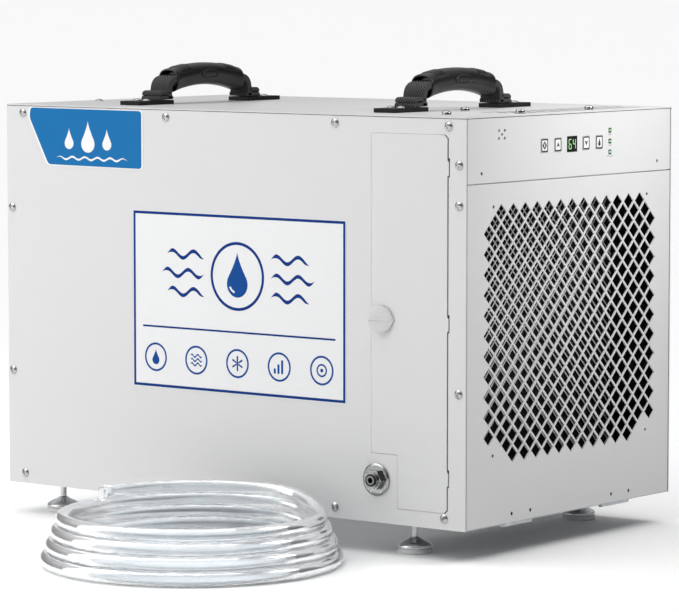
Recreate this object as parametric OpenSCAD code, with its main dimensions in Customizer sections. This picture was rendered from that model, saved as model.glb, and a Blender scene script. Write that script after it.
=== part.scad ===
// Ducted crawl-space dehumidifier: a sheet-metal cabinet on levelling feet, with a perforated
// intake end, a control strip, a quarter-turn access door, two strap handles, the refrigeration
// circuit inside and a clear drain hose coiled on the floor in front.
// Origin: on the floor, under the middle of the cabinet. +X right, +Y back, +Z up.

/* [Cabinet] */
// Width of the cabinet, left to right
cabinet_w = 686; // [680:1:700]
// Depth of the cabinet, front to back
cabinet_d = 414; // [412:1:424]
// Height of the sheet-metal cabinet
cabinet_h = 460; // [458:1:466]
// Thickness of the sheet metal
sheet_t = 1.5; // [1.2:0.1:1.6]

/* [Feet] */
// Gap between the floor and the cabinet
foot_h = 37; // [34:1:44]
// Diameter of a foot's pad
foot_pad_d = 40; // [34:1:44]
// Diameter of a foot's threaded stud
foot_stud_d = 8; // [6:1:8]

/* [Grille] */
// Distance between neighbouring diamonds, along a row
diamond_pitch_y = 23.3; // [23:0.1:24]
// Height of two rows of diamonds
diamond_pitch_z = 22.8; // [22:0.1:22.9]
// Width of one open diamond
diamond_w = 20; // [15:0.5:21]
// Height of one open diamond
diamond_h = 19.4; // [15:0.2:20]

/* [Access door] */
// Gap around the door
door_gap = 0.4; // [0.3:0.1:1.5]
// Diameter of the latch knob's base
knob_d = 29; // [24:1:32]

/* [Handles] */
// Distance of each handle from the middle of the cabinet
handle_x = 191; // [180:1:200]
// Length of a handle over its two plates
handle_len = 268; // [260:1:280]
// Height of the top of the grip above the cabinet
grip_top = 49; // [46:1:54]
// Thickness of the grip, top to bottom, at its middle
grip_t = 27; // [24:1:28]

/* [Drain hose] */
// Outer diameter of the drain hose
hose_d = 16; // [14:1:17]
// Radius of the coil's start, to the middle of the hose
hose_r = 165; // [150:0.5:166]
// How far each turn lies inside the one below
hose_step = 6; // [3:0.5:8]
// Turns in the coil
hose_turns = 4.24; // [3.2:0.01:5.2]

/* [Hidden] */
$fn = 48;

// Faces of the cabinet
side_x = cabinet_w / 2;
face_y = cabinet_d / 2;
base_z = foot_h;
top_z = foot_h + cabinet_h;
panel_top_z = top_z - sheet_t - 0.1;

// Folded edges of the end panels
bend_r = 2;
flange_w = 16;
flange_y = face_y - sheet_t;

// Screws: head and shank, and the hole that clears the shank
screw_head_r = 5.3;
screw_head_h = 2.6;
screw_shank_r = 2.2;
screw_hole_r = 2.4;
screw_len = 8;
front_screws = [
    [-317, top_z - 10.5], [-91, top_z - 10.5], [160, top_z - 10.5], [319, top_z - 10.5],
    [side_x - 9.5, base_z + 407], [side_x - 9.5, base_z + 362], [side_x - 9.5, base_z + 153],
    [314, base_z + 12.5], [160, base_z + 12.5], [-91, base_z + 12.5], [-317, base_z + 12.5],
    [-side_x + 7.5, base_z + 335], [-side_x + 7.5, base_z + 137]
];
back_screws = [
    [-317, top_z - 10.5], [-91, top_z - 10.5], [160, top_z - 10.5], [319, top_z - 10.5],
    [side_x - 9.5, base_z + 360], [side_x - 9.5, base_z + 153],
    [314, base_z + 12.5], [160, base_z + 12.5], [-91, base_z + 12.5], [-317, base_z + 12.5],
    [-side_x + 7.5, base_z + 335], [-side_x + 7.5, base_z + 137]
];
vent_y = 43.3;
top_screws = [[284, -163], [233, -58], [316, -66], [319, 68], [-319, -66], [-319, 68]];

// Access door, its opening and the corner that the drain fitting keeps
door_x0 = 212;
door_x1 = 317.3;
door_z0 = base_z + 18.3;
door_z1 = base_z + 440;
notch_x = 249;
notch_z = base_z + 79;
opening_x1 = door_x1 + 1.8;
door_chamfer = 4;
tab_x = 319.2;
tab_spans = [[49, 66], [222, 239], [395, 413]];

// Hinge: pin axis and the heights of its two arms
pin_x = 333;
pin_y = -face_y + 10;
pin_r = 2.5;
running_gap = 0.05;
arm_t = 4;
arm_levels = [base_z + 83, base_z + 374];

// Latch and drain fitting
knob_x = 227.5;
knob_z = base_z + 231;
fitting_x = 219.6;
fitting_z = base_z + 49;
port_r = 2.7;
front_reach = 12;
outlet_line_y = -face_y + 14;
barb_r = 3.5;

// Control strip
strip_z = base_z + 385.5;
button_size = [13.2, 15];
button_gap = 0.3;
button_z = base_z + 423.7;
button_ys = [-57.2, -30.3, 26.6, 53.4];
display_y = -1.2;
display_size = [20.2, 18];
display_z = base_z + 423.4;
led_y = 76.2;
led_size = 5.4;
led_zs = [base_z + 436.4, base_z + 423.8, base_z + 411.3];
sensor_holes = [[-144.8, 443.6], [-133.9, 443.6], [-139.1, 439.2], [-144.8, 434.9], [-133.9, 434.9]];

// Filters slide on rails between the evaporator and the intake
filter_y0 = -face_y + 9;
filter_y1 = face_y - 10;
filter_z0 = base_z + 13.5;
filter_z1 = base_z + 443.5;
mesh_x0 = 266;
mesh_x1 = 278;
pleat_x0 = 240;
pleat_x1 = 264.5;
slot_x0 = 238.5;
slot_x1 = 279.5;
rail_gap = 0.3;

// Coils: x ranges, ends of the fin packs and the tube rows
evaporator_x = [175, 225];
condenser_x = [112, 162];
fins_y = [-150, 175];
fins_z = [base_z + 43, base_z + 429];
tube_r = 4.8;
tube_bend_r = 12;
tube_rows = 15;

// Fan
fan_z = base_z + 230;
fan_x = 80;
bulkhead_x = 58;
throat_r = 160;
rotor_r = 154;
hub_r = 52;
blades = 5;
shaft_r = 6;
motor_x0 = -45;
motor_x1 = 40;
motor_r = 58;

// Compressor and accumulator
compressor_pos = [-200, 70];
compressor_r = 66;
accumulator_pos = [-80, 70];

// Handles
handle_y = -22;
plate_w = 30;
plate_t = 5;
plate_in = 70;
strap_w = 29;
grip_w = 32;
grip_half = 63;
tilt_z = top_z + plate_t + 6;

// Feet
foot_pos = [[-293, -165], [242, -165], [-293, 165], [242, 165]];

// Labels
label_x = [-142, 174.5];
label_z = [base_z + 131.3, base_z + 336.2];
label_t = 0.4;

// Drain hose coil: middle of the coil, and the rise from one turn to the next that lies on it
hose_pos = [97, -383.5];
hose_rise = sqrt(pow(hose_d, 2) - pow(hose_step, 2));

// A plate that lies along X and Z, from y to y + t
module xz_plate(y, t) {
    translate([0, y + t, 0]) rotate([90, 0, 0]) linear_extrude(t) children();
}

// A plate that lies along Y and Z, from x to x + t
module yz_plate(x, t) {
    translate([x, 0, 0]) rotate([90, 0, 90]) linear_extrude(t) children();
}

// A box from its low corner to its high corner
module block(low, high) {
    translate(low) cube([for (i = [0:2]) high[i] - low[i]]);
}

// A flat rectangle from its low corner to its high corner
module patch(low, high) {
    translate(low) square([high[0] - low[0], high[1] - low[1]]);
}

// One open diamond of the grille
module diamond() {
    polygon([[-diamond_w / 2, 0], [0, -diamond_h / 2], [diamond_w / 2, 0], [0, diamond_h / 2]]);
}

// Staggered diamonds: every second row is shifted by half a pitch
module diamond_field(z0, rows, half_cols, trim) {
    for (j = [0:rows - 1]) {
        odd = j % 2;
        n = (j == 0 || j == rows - 1 || j == 1) ? half_cols - trim[min(j, 2)] : half_cols;
        for (k = [-n:n - odd])
            translate([diamond_pitch_y * (k + odd / 2), z0 + diamond_pitch_z / 2 * j]) diamond();
    }
}

// Profile of an end panel's folded edge, at its right front corner
module folded_edge() {
    translate([side_x - bend_r, -flange_y + bend_r]) intersection() {
        difference() {
            circle(bend_r);
            circle(bend_r - sheet_t);
        }
        translate([0, -bend_r]) square(bend_r);
    }
    patch([side_x - flange_w, -flange_y], [side_x - bend_r, -flange_y + sheet_t]);
    patch([side_x - sheet_t, -flange_y + bend_r], [side_x, -flange_y + bend_r + 3]);
}

// An end panel: a face with folded front and back edges; the children are its openings
module end_panel(z_low, z_high) {
    face_half = flange_y - bend_r - 3;
    yz_plate(side_x - sheet_t, sheet_t) difference() {
        patch([-face_half, z_low], [face_half, z_high]);
        children();
    }
    for (m = [0, 1]) mirror([0, m, 0])
        translate([0, 0, z_low]) linear_extrude(z_high - z_low) folded_edge();
}

// Clearance holes for the front and back panels' screws
module panel_screw_holes() {
    for (s = front_screws) translate([s[0], -face_y - 1, s[1]])
        rotate([-90, 0, 0]) cylinder(h = 12, r = screw_hole_r);
    for (s = back_screws) translate([s[0], face_y + 1, s[1]])
        rotate([90, 0, 0]) cylinder(h = 12, r = screw_hole_r);
}

// Pan-head screw along +Z, its head resting on z = 0, with a cross recess
module pan_screw() {
    dome_r = 8.5;
    difference() {
        union() {
            intersection() {
                cylinder(h = screw_head_h, r = screw_head_r);
                translate([0, 0, screw_head_h - dome_r]) sphere(dome_r);
            }
            translate([0, 0, -screw_len]) cylinder(h = screw_len, r = screw_shank_r);
        }
        for (a = [0, 90]) rotate([0, 0, a])
            translate([-2.6, -0.5, screw_head_h - 1.5]) cube([5.2, 1, 2]);
    }
}

// Round pipe through points joined by right-angled bends of radius r_bend
module pipe(points, r, r_bend) {
    last = len(points) - 1;
    function unit(v) = v / norm(v);
    for (i = [0:last - 1]) {
        a = points[i];
        b = points[i + 1];
        along = unit(b - a);
        from = a + along * (i == 0 ? 0 : r_bend);
        reach = norm(b - a) - (i == 0 ? 0 : r_bend) - (i == last - 1 ? 0 : r_bend);
        side = abs(along[2]) > 0.5 ? [1, 0, 0] : [0, 0, 1];
        third = cross(along, side);
        multmatrix([for (k = [0:2]) [side[k], -third[k], along[k], from[k]]])
            cylinder(h = reach, r = r);
    }
    for (i = [1:1:last - 1]) {
        arrive = unit(points[i] - points[i - 1]);
        leave = unit(points[i + 1] - points[i]);
        up = cross(arrive, leave);
        centre = points[i] - arrive * r_bend + leave * r_bend;
        multmatrix([for (k = [0:2]) [-leave[k], arrive[k], up[k], centre[k]]])
            rotate_extrude(angle = 90) translate([r_bend, 0]) circle(r);
    }
}

module base_pan() {
    low_flange = base_z + 15.5;
    flange_top = base_z + 25;
    inner = side_x - sheet_t - 0.2;
    color("gainsboro") difference() {
        union() {
            block([-inner, -flange_y, base_z], [inner, flange_y, base_z + sheet_t]);
            // Front flange, lower below the door, and back flange, open at the filter slot
            block([-324, -flange_y, base_z], [door_x0 - 8, -flange_y + sheet_t, flange_top]);
            block([door_x0 - 9, -flange_y, base_z], [324, -flange_y + sheet_t, low_flange]);
            block([-324, flange_y - sheet_t, base_z], [slot_x0 - 3, flange_y, flange_top]);
            block([slot_x1 + 3, flange_y - sheet_t, base_z], [324, flange_y, flange_top]);
            for (m = [0, 1]) mirror([m, 0, 0])
                block([inner - sheet_t, -flange_y + 3, base_z], [inner, flange_y - 3, flange_top]);
            // Folded tabs under the intake end
            block([inner - 5, -132, base_z - 3], [inner, -75, base_z]);
            block([inner - 5, 67, base_z - 3], [inner, 123, base_z]);
        }
        panel_screw_holes();
        for (p = foot_pos) translate([p[0], p[1], base_z - 1])
            cylinder(h = sheet_t + 2, r = foot_stud_d / 2 + 0.6);
    }
}

module front_panel() {
    color("white") difference() {
        xz_plate(-face_y, sheet_t) difference() {
            patch([-side_x, base_z], [side_x, panel_top_z]);
            difference() {
                polygon([[door_x0 - door_gap, door_z0 - door_gap],
                         [opening_x1 - door_chamfer, door_z0 - door_gap],
                         [opening_x1, door_z0 - door_gap + door_chamfer],
                         [opening_x1, door_z1 + door_gap - door_chamfer],
                         [opening_x1 - door_chamfer, door_z1 + door_gap],
                         [door_x0 - door_gap, door_z1 + door_gap]]);
                patch([door_x0 - 9, door_z0 - 9], [notch_x - door_gap, notch_z - door_gap]);
            }
            for (s = tab_spans) patch([opening_x1 - 1, base_z + s[0] - 1.5], [tab_x + 1.6, base_z + s[1] + 1.5]);
            translate([fitting_x, fitting_z]) circle(12.2);
        }
        panel_screw_holes();
    }
}

module back_panel() {
    color("white") difference() {
        xz_plate(face_y - sheet_t, sheet_t) difference() {
            patch([-side_x, base_z], [side_x, panel_top_z]);
            patch([slot_x0, filter_z0 - 1.5], [slot_x1, filter_z1 + 1.5]);
            translate([-280, base_z + 53]) circle(8.2);
        }
        panel_screw_holes();
    }
}

module top_panel() {
    flange_low = door_z1 + 2.5;
    color("white") difference() {
        union() {
            translate([0, 0, top_z - sheet_t]) linear_extrude(sheet_t) difference() {
                patch([-side_x, -face_y], [side_x, face_y]);
                // Diamond vent above the intake chamber
                for (j = [0:4], k = [-5:5])
                    translate([side_x - 67.5 + diamond_pitch_z / 2 * j,
                               vent_y + diamond_pitch_y * (k + (j % 2) / 2)]) rotate([0, 0, 90]) diamond();
            }
            block([-324, -flange_y, flange_low], [324, -flange_y + sheet_t, top_z - sheet_t]);
            block([-324, flange_y - sheet_t, flange_low], [slot_x0 - 3, flange_y, top_z - sheet_t]);
            block([slot_x1 + 3, flange_y - sheet_t, flange_low], [324, flange_y, top_z - sheet_t]);
        }
        panel_screw_holes();
        for (s = concat(top_screws, handle_screws())) translate([s[0], s[1], top_z - 10])
            cylinder(h = 20, r = screw_hole_r);
    }
}

module grille_panel() {
    color("white") difference() {
        end_panel(base_z + sheet_t, strip_z - 0.6) {
            diamond_field(base_z + 78.6, 25, 7, [2, 1, 1]);
            for (y = [-155, 155], z = [80, 359]) translate([y, base_z + z]) circle(2);
            for (y = [-117.5, -81, 83.7, 120.3]) translate([y, base_z + 10.8]) circle(2.2);
        }
        panel_screw_holes();
    }
}

module control_fascia() {
    hole = button_size + 2 * button_gap * [1, 1];
    color("white") difference() {
        end_panel(strip_z + 0.6, panel_top_z) {
            for (y = button_ys) translate([y, button_z]) square(hole, center = true);
            translate([display_y, display_z])
                square([display_size[0] + 0.2, display_size[1] + 0.2], center = true);
            for (z = led_zs) translate([led_y, z]) square(led_size + 0.2, center = true);
            for (h = sensor_holes) translate([h[0], base_z + h[1]]) circle(1.7);
            for (y = [-177.7, 176.5]) translate([y, base_z + 397]) circle(2);
        }
        panel_screw_holes();
    }
}

module outlet_panel() {
    color("white") difference() {
        mirror([1, 0, 0]) end_panel(base_z + sheet_t, panel_top_z)
            diamond_field(base_z + 93, 25, 7, [2, 1, 1]);
        panel_screw_holes();
    }
}

module access_door() {
    c = door_chamfer;
    fold = 5.5;
    tab_c = 3;
    color("white") difference() {
        union() {
            xz_plate(-face_y, sheet_t) {
                polygon([[notch_x, door_z0], [door_x1 - c, door_z0], [door_x1, door_z0 + c],
                         [door_x1, door_z1 - c], [door_x1 - c, door_z1], [door_x0, door_z1],
                         [door_x0, notch_z], [notch_x, notch_z]]);
                for (s = tab_spans)
                    polygon([[door_x1 - 1, base_z + s[0]], [tab_x, base_z + s[0]],
                             [tab_x, base_z + s[1] - tab_c], [door_x1 - 1, base_z + s[1]]]);
            }
            // Folds that stiffen the free edges; the left one is open where the latch cam turns
            block([door_x0, -face_y, notch_z + 2], [door_x0 + sheet_t, -face_y + fold, knob_z - 30]);
            block([door_x0, -face_y, knob_z + 14], [door_x0 + sheet_t, -face_y + fold, door_z1 - c]);
            block([notch_x, -face_y, door_z0 + 2], [notch_x + sheet_t, -face_y + fold, notch_z]);
            block([door_x0 + c, -face_y, door_z1 - sheet_t], [300, -face_y + fold, door_z1]);
            block([notch_x, -face_y, door_z0], [300, -face_y + fold, door_z0 + sheet_t]);
        }
        translate([knob_x, -face_y - 1, knob_z]) rotate([-90, 0, 0]) cylinder(h = 10, r = 4.05);
    }
}

module hinge_arms() {
    foot_y = -face_y + sheet_t;
    bend_y = pin_y + 25;
    color("silver") for (z = arm_levels) {
        translate([0, 0, z]) linear_extrude(arm_t) difference() {
            union() {
                patch([302, foot_y], [308, bend_y + 3]);
                patch([302, bend_y - 3], [pin_x + 3, bend_y + 3]);
                patch([pin_x - 3, pin_y], [pin_x + 3, bend_y + 3]);
                translate([pin_x, pin_y]) circle(5);
            }
            translate([pin_x, pin_y]) circle(pin_r + running_gap);
        }
        block([288, foot_y, z - 8], [308, foot_y + 2, z + arm_t + 8]);
    }
}

module hinge_brackets() {
    wall_x = side_x - sheet_t;
    color("silver") for (z = arm_levels) {
        for (plate_z = [z - 3.5, z + arm_t + 0.5]) translate([0, 0, plate_z]) linear_extrude(3) {
            translate([pin_x, pin_y]) circle(5);
            patch([pin_x, pin_y - 5], [wall_x, pin_y + 5]);
        }
        block([wall_x - 2, pin_y - 5, z - 10], [wall_x, pin_y + 15, z + arm_t + 10]);
        translate([pin_x, pin_y, z - 4]) cylinder(h = arm_t + 8, r = pin_r);
    }
}

module latch_knob() {
    base_t = 3;
    grip_len = 27;
    grip_w_knob = 7;
    face = face_y + 0.3;
    color("whitesmoke") translate([knob_x, -face, knob_z]) rotate([90, 0, 0]) {
        cylinder(h = base_t - 1, r = knob_d / 2);
        translate([0, 0, base_t - 1]) cylinder(h = 1, r1 = knob_d / 2, r2 = knob_d / 2 - 1);
        translate([-grip_len / 2 + grip_w_knob / 2, 0, 0]) cylinder(h = front_reach - 0.8, r = grip_w_knob / 2);
        translate([grip_len / 2 - 2, 0, 0]) cylinder(h = front_reach - 0.8, r = 2);
        linear_extrude(front_reach - 0.8)
            polygon([[-grip_len / 2 + 3.5, -3.5], [grip_len / 2 - 2, -2], [grip_len / 2 - 2, 2],
                     [-grip_len / 2 + 3.5, 3.5]]);
        translate([0, 0, -3.4]) cylinder(h = 4, r = 4);
    }
}

module latch_cam() {
    color("silver") xz_plate(-face_y + 3.1, 2) {
        translate([knob_x, knob_z]) circle(8);
        translate([knob_x - 6, knob_z - 26]) square([12, 26]);
    }
}

// The children turn about the drain fitting's axis; z = 0 is the panel's face, +z outwards
module at_fitting() {
    translate([fitting_x, -face_y, fitting_z]) rotate([90, 0, 0]) children();
}

module drain_fitting() {
    hex_r = 21 / 2 / cos(30);
    color("darkgray") {
        difference() {
            union() {
                at_fitting() {
                    cylinder(h = 1.6, r = 18.5);
                    translate([0, 0, 1.6]) cylinder(h = 1.2, r1 = 18.5, r2 = 16.5);
                    translate([0, 0, 2.8]) cylinder(h = 5.6, r = hex_r, $fn = 6);
                    translate([0, 0, 8.4]) cylinder(h = 2.2, r = 8.4);
                    translate([0, 0, -19]) cylinder(h = 19, r = 12);
                    translate([0, 0, -8]) cylinder(h = 8 - sheet_t, r = 17, $fn = 6);
                }
                translate([190, outlet_line_y, fitting_z]) rotate([0, 90, 0])
                    cylinder(h = fitting_x - 190, r = barb_r);
            }
            at_fitting() {
                translate([0, 0, -14]) cylinder(h = 30, r = port_r);
                translate([0, 0, 4]) cylinder(h = 10, r = 6);
            }
            translate([189, outlet_line_y, fitting_z]) rotate([0, 90, 0])
                cylinder(h = fitting_x - 189, r = 2);
        }
    }
}

module drain_collet() {
    color("#222222") at_fitting() difference() {
        union() {
            translate([0, 0, 4]) cylinder(h = 6.6, r = 5.95);
            translate([0, 0, 10.6]) cylinder(h = front_reach - 10.6, r = 7);
        }
        translate([0, 0, 3]) cylinder(h = 12, r = port_r);
    }
}

module control_board() {
    board_x = side_x - 10;
    color("darkgreen") {
        block([board_x - 1.6, -70, base_z + 396], [board_x, 90, base_z + 446]);
        for (y = button_ys) block([board_x, y - 3, button_z - 3], [side_x - 5.2, y + 3, button_z + 3]);
        for (y = [-66, 86], z = [400, 442]) translate([board_x, y, base_z + z])
            rotate([0, 90, 0]) cylinder(h = 10 - sheet_t, r = 2.5);
    }
}

module display_window() {
    color("black") block(
        [side_x - 7, display_y - display_size[0] / 2, display_z - display_size[1] / 2],
        [side_x + 0.2, display_y + display_size[0] / 2, display_z + display_size[1] / 2]);
}

// A key cap, with a shoulder behind the strip that keeps it in
module button(y) {
    half = button_size / 2;
    shoulder = half + [1.5, 1.5];
    color("white") {
        block([side_x - 3.8, y - half[0], button_z - half[1]], [side_x + 0.8, y + half[0], button_z + half[1]]);
        block([side_x - 3.8, y - shoulder[0], button_z - shoulder[1]],
              [side_x - 2.2, y + shoulder[0], button_z + shoulder[1]]);
    }
}

module status_leds() {
    color("limegreen") for (z = led_zs)
        block([side_x - 9.9, led_y - led_size / 2, z - led_size / 2],
              [side_x + 0.2, led_y + led_size / 2, z + led_size / 2]);
}

// A filter's frame, open in the middle
module filter_frame(x0, x1, rim) {
    yz_plate(x0, x1 - x0) difference() {
        patch([filter_y0, filter_z0], [filter_y1, filter_z1]);
        patch([filter_y0 + rim, filter_z0 + rim], [filter_y1 - rim, filter_z1 - rim]);
    }
}

module mesh_filter_frame() {
    color("white") filter_frame(mesh_x0, mesh_x1, 14);
}

module mesh_filter_media() {
    color("#303030") block([mesh_x0 + 2, filter_y0 + 14, filter_z0 + 14],
                           [mesh_x1 - 4, filter_y1 - 14, filter_z1 - 14]);
}

module pleated_filter_frame() {
    color("white") filter_frame(pleat_x0, pleat_x1, 12);
}

module pleated_filter_media() {
    pleats = 12;
    paper_t = 2;
    y0 = filter_y0 + 12;
    step = (filter_y1 - filter_y0 - 24) / pleats;
    near = pleat_x1 - 1.5;
    far = pleat_x0 + 1.5;
    fold = step * 0.12;
    front = [for (i = [0:pleats - 1], p = [[far, fold], [near, step / 2 - fold], [near, step / 2 + fold],
             [far, step - fold]]) [p[0], y0 + i * step + p[1]]];
    back = [for (i = [len(front) - 1:-1:0]) front[i] - [paper_t, 0]];
    color("ivory") translate([0, 0, filter_z0 + 12]) linear_extrude(filter_z1 - filter_z0 - 24)
        polygon([for (p = concat([[far, y0]], front, [[far, y0 + pleats * step]],
                 [[far - paper_t, y0 + pleats * step]], back, [[far - paper_t, y0]]))
                 [max(p[0], pleat_x0) + 1, p[1]]]);
}

module filter_rails() {
    rail_y1 = flange_y - 2;
    low = filter_z0 - rail_gap;
    high = filter_z1 + rail_gap;
    module rail(floor_low, lip_low, lip_high, leg_low, leg_high) {
        block([slot_x0 - 1.5, filter_y0, floor_low], [slot_x1 + 1.5, rail_y1, floor_low + 1.5]);
        for (x = [slot_x0 - 1.5, slot_x1]) block([x, filter_y0, lip_low], [x + 1.5, rail_y1, lip_high]);
        for (y = [-110, 0, 110]) block([slot_x0 + 10, y - 10, leg_low], [slot_x1 - 10, y + 10, leg_high]);
    }
    color("silver") {
        rail(low - 1.5, low - 1.5, low + 9, base_z + sheet_t, low - 1.4);
        rail(high, high - 9, high + 1.5, high + 1.4, top_z - sheet_t);
    }
}

// A block of fins between two end plates that stand in the drip tray
module coil_fins(x_range) {
    color("silver") {
        block([x_range[0], fins_y[0], fins_z[0]], [x_range[1], fins_y[1], fins_z[1]]);
        for (y = [fins_y[0] - 2, fins_y[1]])
            block([x_range[0] - 2, y, base_z + 3.5], [x_range[1] + 2, y + 2, fins_z[1] + 4]);
    }
}

// Return bends on both end plates, two rows across the coil's depth
module coil_tubes(x_range) {
    pitch = 2 * tube_bend_r;
    color("peru") for (x = [x_range[0] + 13, x_range[1] - 13], i = [0:tube_rows - 1]) {
        low_z = fins_z[0] + 8 + i * pitch;
        if (i % 2 == 0) translate([x, fins_y[0] - 2, low_z + tube_bend_r])
            rotate([0, 90, 180]) rotate_extrude(angle = 180)
                translate([tube_bend_r, 0]) circle(tube_r);
        if (i % 2 == 1) translate([x, fins_y[1] + 2, low_z + tube_bend_r])
            rotate([0, -90, 0]) rotate_extrude(angle = 180)
                translate([tube_bend_r, 0]) circle(tube_r);
    }
}

module drip_tray() {
    low = [condenser_x[0] - 5, fins_y[0] - 15, base_z + sheet_t];
    high = [evaporator_x[1] + 7, fins_y[1] + 12, base_z + 26];
    wall = 2;
    color("#404040") difference() {
        block(low, high);
        block(low + [wall, wall, wall], [high[0] - wall, high[1] - wall, high[2] + 1]);
    }
}

module fan_bulkhead() {
    inner_y = flange_y - sheet_t - 1;
    color("gainsboro") {
        yz_plate(bulkhead_x, 2) difference() {
            patch([-inner_y, base_z + sheet_t], [inner_y, top_z - sheet_t]);
            translate([0, fan_z]) circle(throat_r + 1);
            translate([outlet_line_y, fitting_z]) circle(7);
            translate([70, top_z - 15]) circle(9);
            translate([190, fan_z + 73]) circle(8);
            for (z = [59, 111]) translate([190, base_z + z]) circle(6);
        }
        translate([bulkhead_x, 0, fan_z]) rotate([0, 90, 0]) difference() {
            cylinder(h = 42, r = throat_r + 2, $fn = 96);
            translate([0, 0, -1]) cylinder(h = 44, r = throat_r, $fn = 96);
        }
    }
}

module fan_rotor() {
    color("#202020") translate([fan_x, 0, fan_z]) rotate([0, 90, 0]) {
        translate([0, 0, -14]) cylinder(h = 28, r = hub_r);
        translate([0, 0, -78]) cylinder(h = 64, r = shaft_r);
        intersection() {
            for (i = [0:blades - 1]) rotate([0, 0, i * 360 / blades])
                translate([hub_r - 8, 0, 0]) rotate([32, 0, 0])
                    translate([0, -34, -1.25]) cube([rotor_r - hub_r + 12, 68, 2.5]);
            translate([0, 0, -30]) cylinder(h = 60, r = rotor_r, $fn = 96);
        }
    }
}

module fan_motor() {
    color("#505050") translate([motor_x0, 0, fan_z]) rotate([0, 90, 0]) difference() {
        union() {
            cylinder(h = 4, r1 = motor_r - 8, r2 = motor_r - 2);
            translate([0, 0, 4]) cylinder(h = motor_x1 - motor_x0 - 8, r = motor_r);
            translate([0, 0, motor_x1 - motor_x0 - 4]) cylinder(h = 4, r1 = motor_r - 2, r2 = motor_r - 8);
        }
        translate([0, 0, 40]) cylinder(h = 50, r = shaft_r + running_gap);
    }
}

module motor_bracket() {
    color("silver") translate([0, 0, fan_z]) rotate([0, 90, 0]) {
        difference() {
            union() {
                translate([0, 0, -12]) cylinder(h = 24, r = motor_r + 2);
                for (a = [30, 150, 270]) rotate([0, 0, a]) {
                    translate([motor_r, -8, -4]) cube([throat_r + 20 - motor_r, 16, 4]);
                    translate([throat_r + 16, -8, -4]) cube([4, 16, bulkhead_x + 4]);
                }
            }
            translate([0, 0, -13]) cylinder(h = 26, r = motor_r);
        }
    }
}

module compressor() {
    low = base_z + 23;
    body_h = 260;
    dome = 30;
    color("#1c1c1c") translate([compressor_pos[0], compressor_pos[1], 0]) {
        translate([0, 0, low]) rotate_extrude() {
            patch([0, dome], [compressor_r, body_h - dome]);
            patch([0, 8], [compressor_r - 12, body_h]);
        }
        translate([0, 0, low - 4]) linear_extrude(4) {
            circle(50);
            for (a = [90, 210, 330]) rotate(a) translate([0, -8]) square([78, 16]);
        }
    }
}

module compressor_mounts() {
    color("black") for (a = [90, 210, 330])
        translate([compressor_pos[0], compressor_pos[1], 0]) rotate([0, 0, a])
            translate([68, 0, base_z + sheet_t]) {
                cylinder(h = 6, r = 14);
                translate([0, 0, 6]) cylinder(h = 19 - sheet_t - 6, r = 10);
            }
}

module accumulator() {
    color("#1c1c1c") translate([accumulator_pos[0], accumulator_pos[1], base_z + 83]) rotate_extrude() {
        patch([0, 8], [30, 162]);
        patch([0, 0], [22, 170]);
        for (z = [8, 162]) translate([22, z]) circle(8);
    }
}

module suction_line() {
    x = accumulator_pos[0];
    y = accumulator_pos[1];
    run_z = top_z - 15;
    color("peru") {
        pipe([[x, y, base_z + 253], [x, y, run_z], [200, y, run_z], [200, y, fins_z[1]]], 6, 14);
        pipe([[x, y, base_z + 83], [x, y, base_z + 58], [compressor_pos[0] + compressor_r, y, base_z + 58]], 6, 14);
    }
}

module discharge_line() {
    x = compressor_pos[0];
    y = compressor_pos[1];
    run_z = fan_z + 73;
    run_y = 190;
    color("peru") pipe([[x, y, base_z + 283], [x, y, run_z], [x, run_y, run_z],
                        [137, run_y, run_z], [137, fins_y[1] + 2, run_z]], 4, 10);
}

module liquid_line() {
    line_y = 190;
    end_y = fins_y[1] + 2;
    low_z = base_z + 59;
    high_z = base_z + 111;
    color("peru") {
        pipe([[137, end_y, low_z], [137, line_y, low_z], [0, line_y, low_z]], 4, 10);
        pipe([[-60, line_y, low_z], [-80, line_y, low_z], [-80, line_y, high_z],
              [200, line_y, high_z], [200, end_y, high_z]], 3, 10);
        // Filter drier
        translate([-60, line_y, low_z]) rotate([0, 90, 0]) {
            cylinder(h = 8, r1 = 5, r2 = 12);
            translate([0, 0, 8]) cylinder(h = 44, r = 12);
            translate([0, 0, 52]) cylinder(h = 8, r1 = 12, r2 = 5);
        }
    }
}

module condensate_pump() {
    low = [-120, -face_y + 8.5, base_z + sheet_t];
    high = [10, -120, base_z + 63];
    color("#30343a") {
        block(low, high);
        translate([-55, -160, high[2]]) cylinder(h = 8, r = 30);
        translate([-55, -160, high[2] + 8]) cylinder(h = 45, r = 24);
        translate([10, outlet_line_y, fitting_z]) rotate([0, 90, 0]) cylinder(h = 14, r = barb_r);
    }
}

module pump_outlet_tube() {
    color("aliceblue") translate([12, outlet_line_y, fitting_z]) rotate([0, 90, 0]) difference() {
        cylinder(h = 190, r = 5);
        translate([0, 0, -1]) cylinder(h = 192, r = barb_r + 0.02);
    }
}

module electrical_box() {
    color("silver") {
        block([-325, -flange_y, base_z + 303], [-235, -75, base_z + 433]);
        block([-326, -74.9, base_z + 302], [-234, -72, base_z + 434]);
    }
}

module run_capacitor() {
    color("lightgray") translate([-285, -180, base_z + 281]) rotate([-90, 0, 0]) {
        cylinder(h = 95, r = 21.8);
        translate([0, 0, 95]) cylinder(h = 4, r = 18);
    }
}

module cord_gland() {
    color("black") translate([-280, face_y, base_z + 53]) rotate([-90, 0, 0]) difference() {
        union() {
            cylinder(h = 2.5, r = 14);
            translate([0, 0, 2.5]) cylinder(h = 5, r = 12.7, $fn = 6);
            translate([0, 0, 7.5]) cylinder(h = front_reach - 7.5, r1 = 9.5, r2 = 7);
            translate([0, 0, -14]) cylinder(h = 14, r = 8);
            translate([0, 0, -8]) cylinder(h = 8 - sheet_t, r = 13, $fn = 6);
        }
        translate([0, 0, -15]) cylinder(h = 30, r = 4.5);
    }
}

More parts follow.
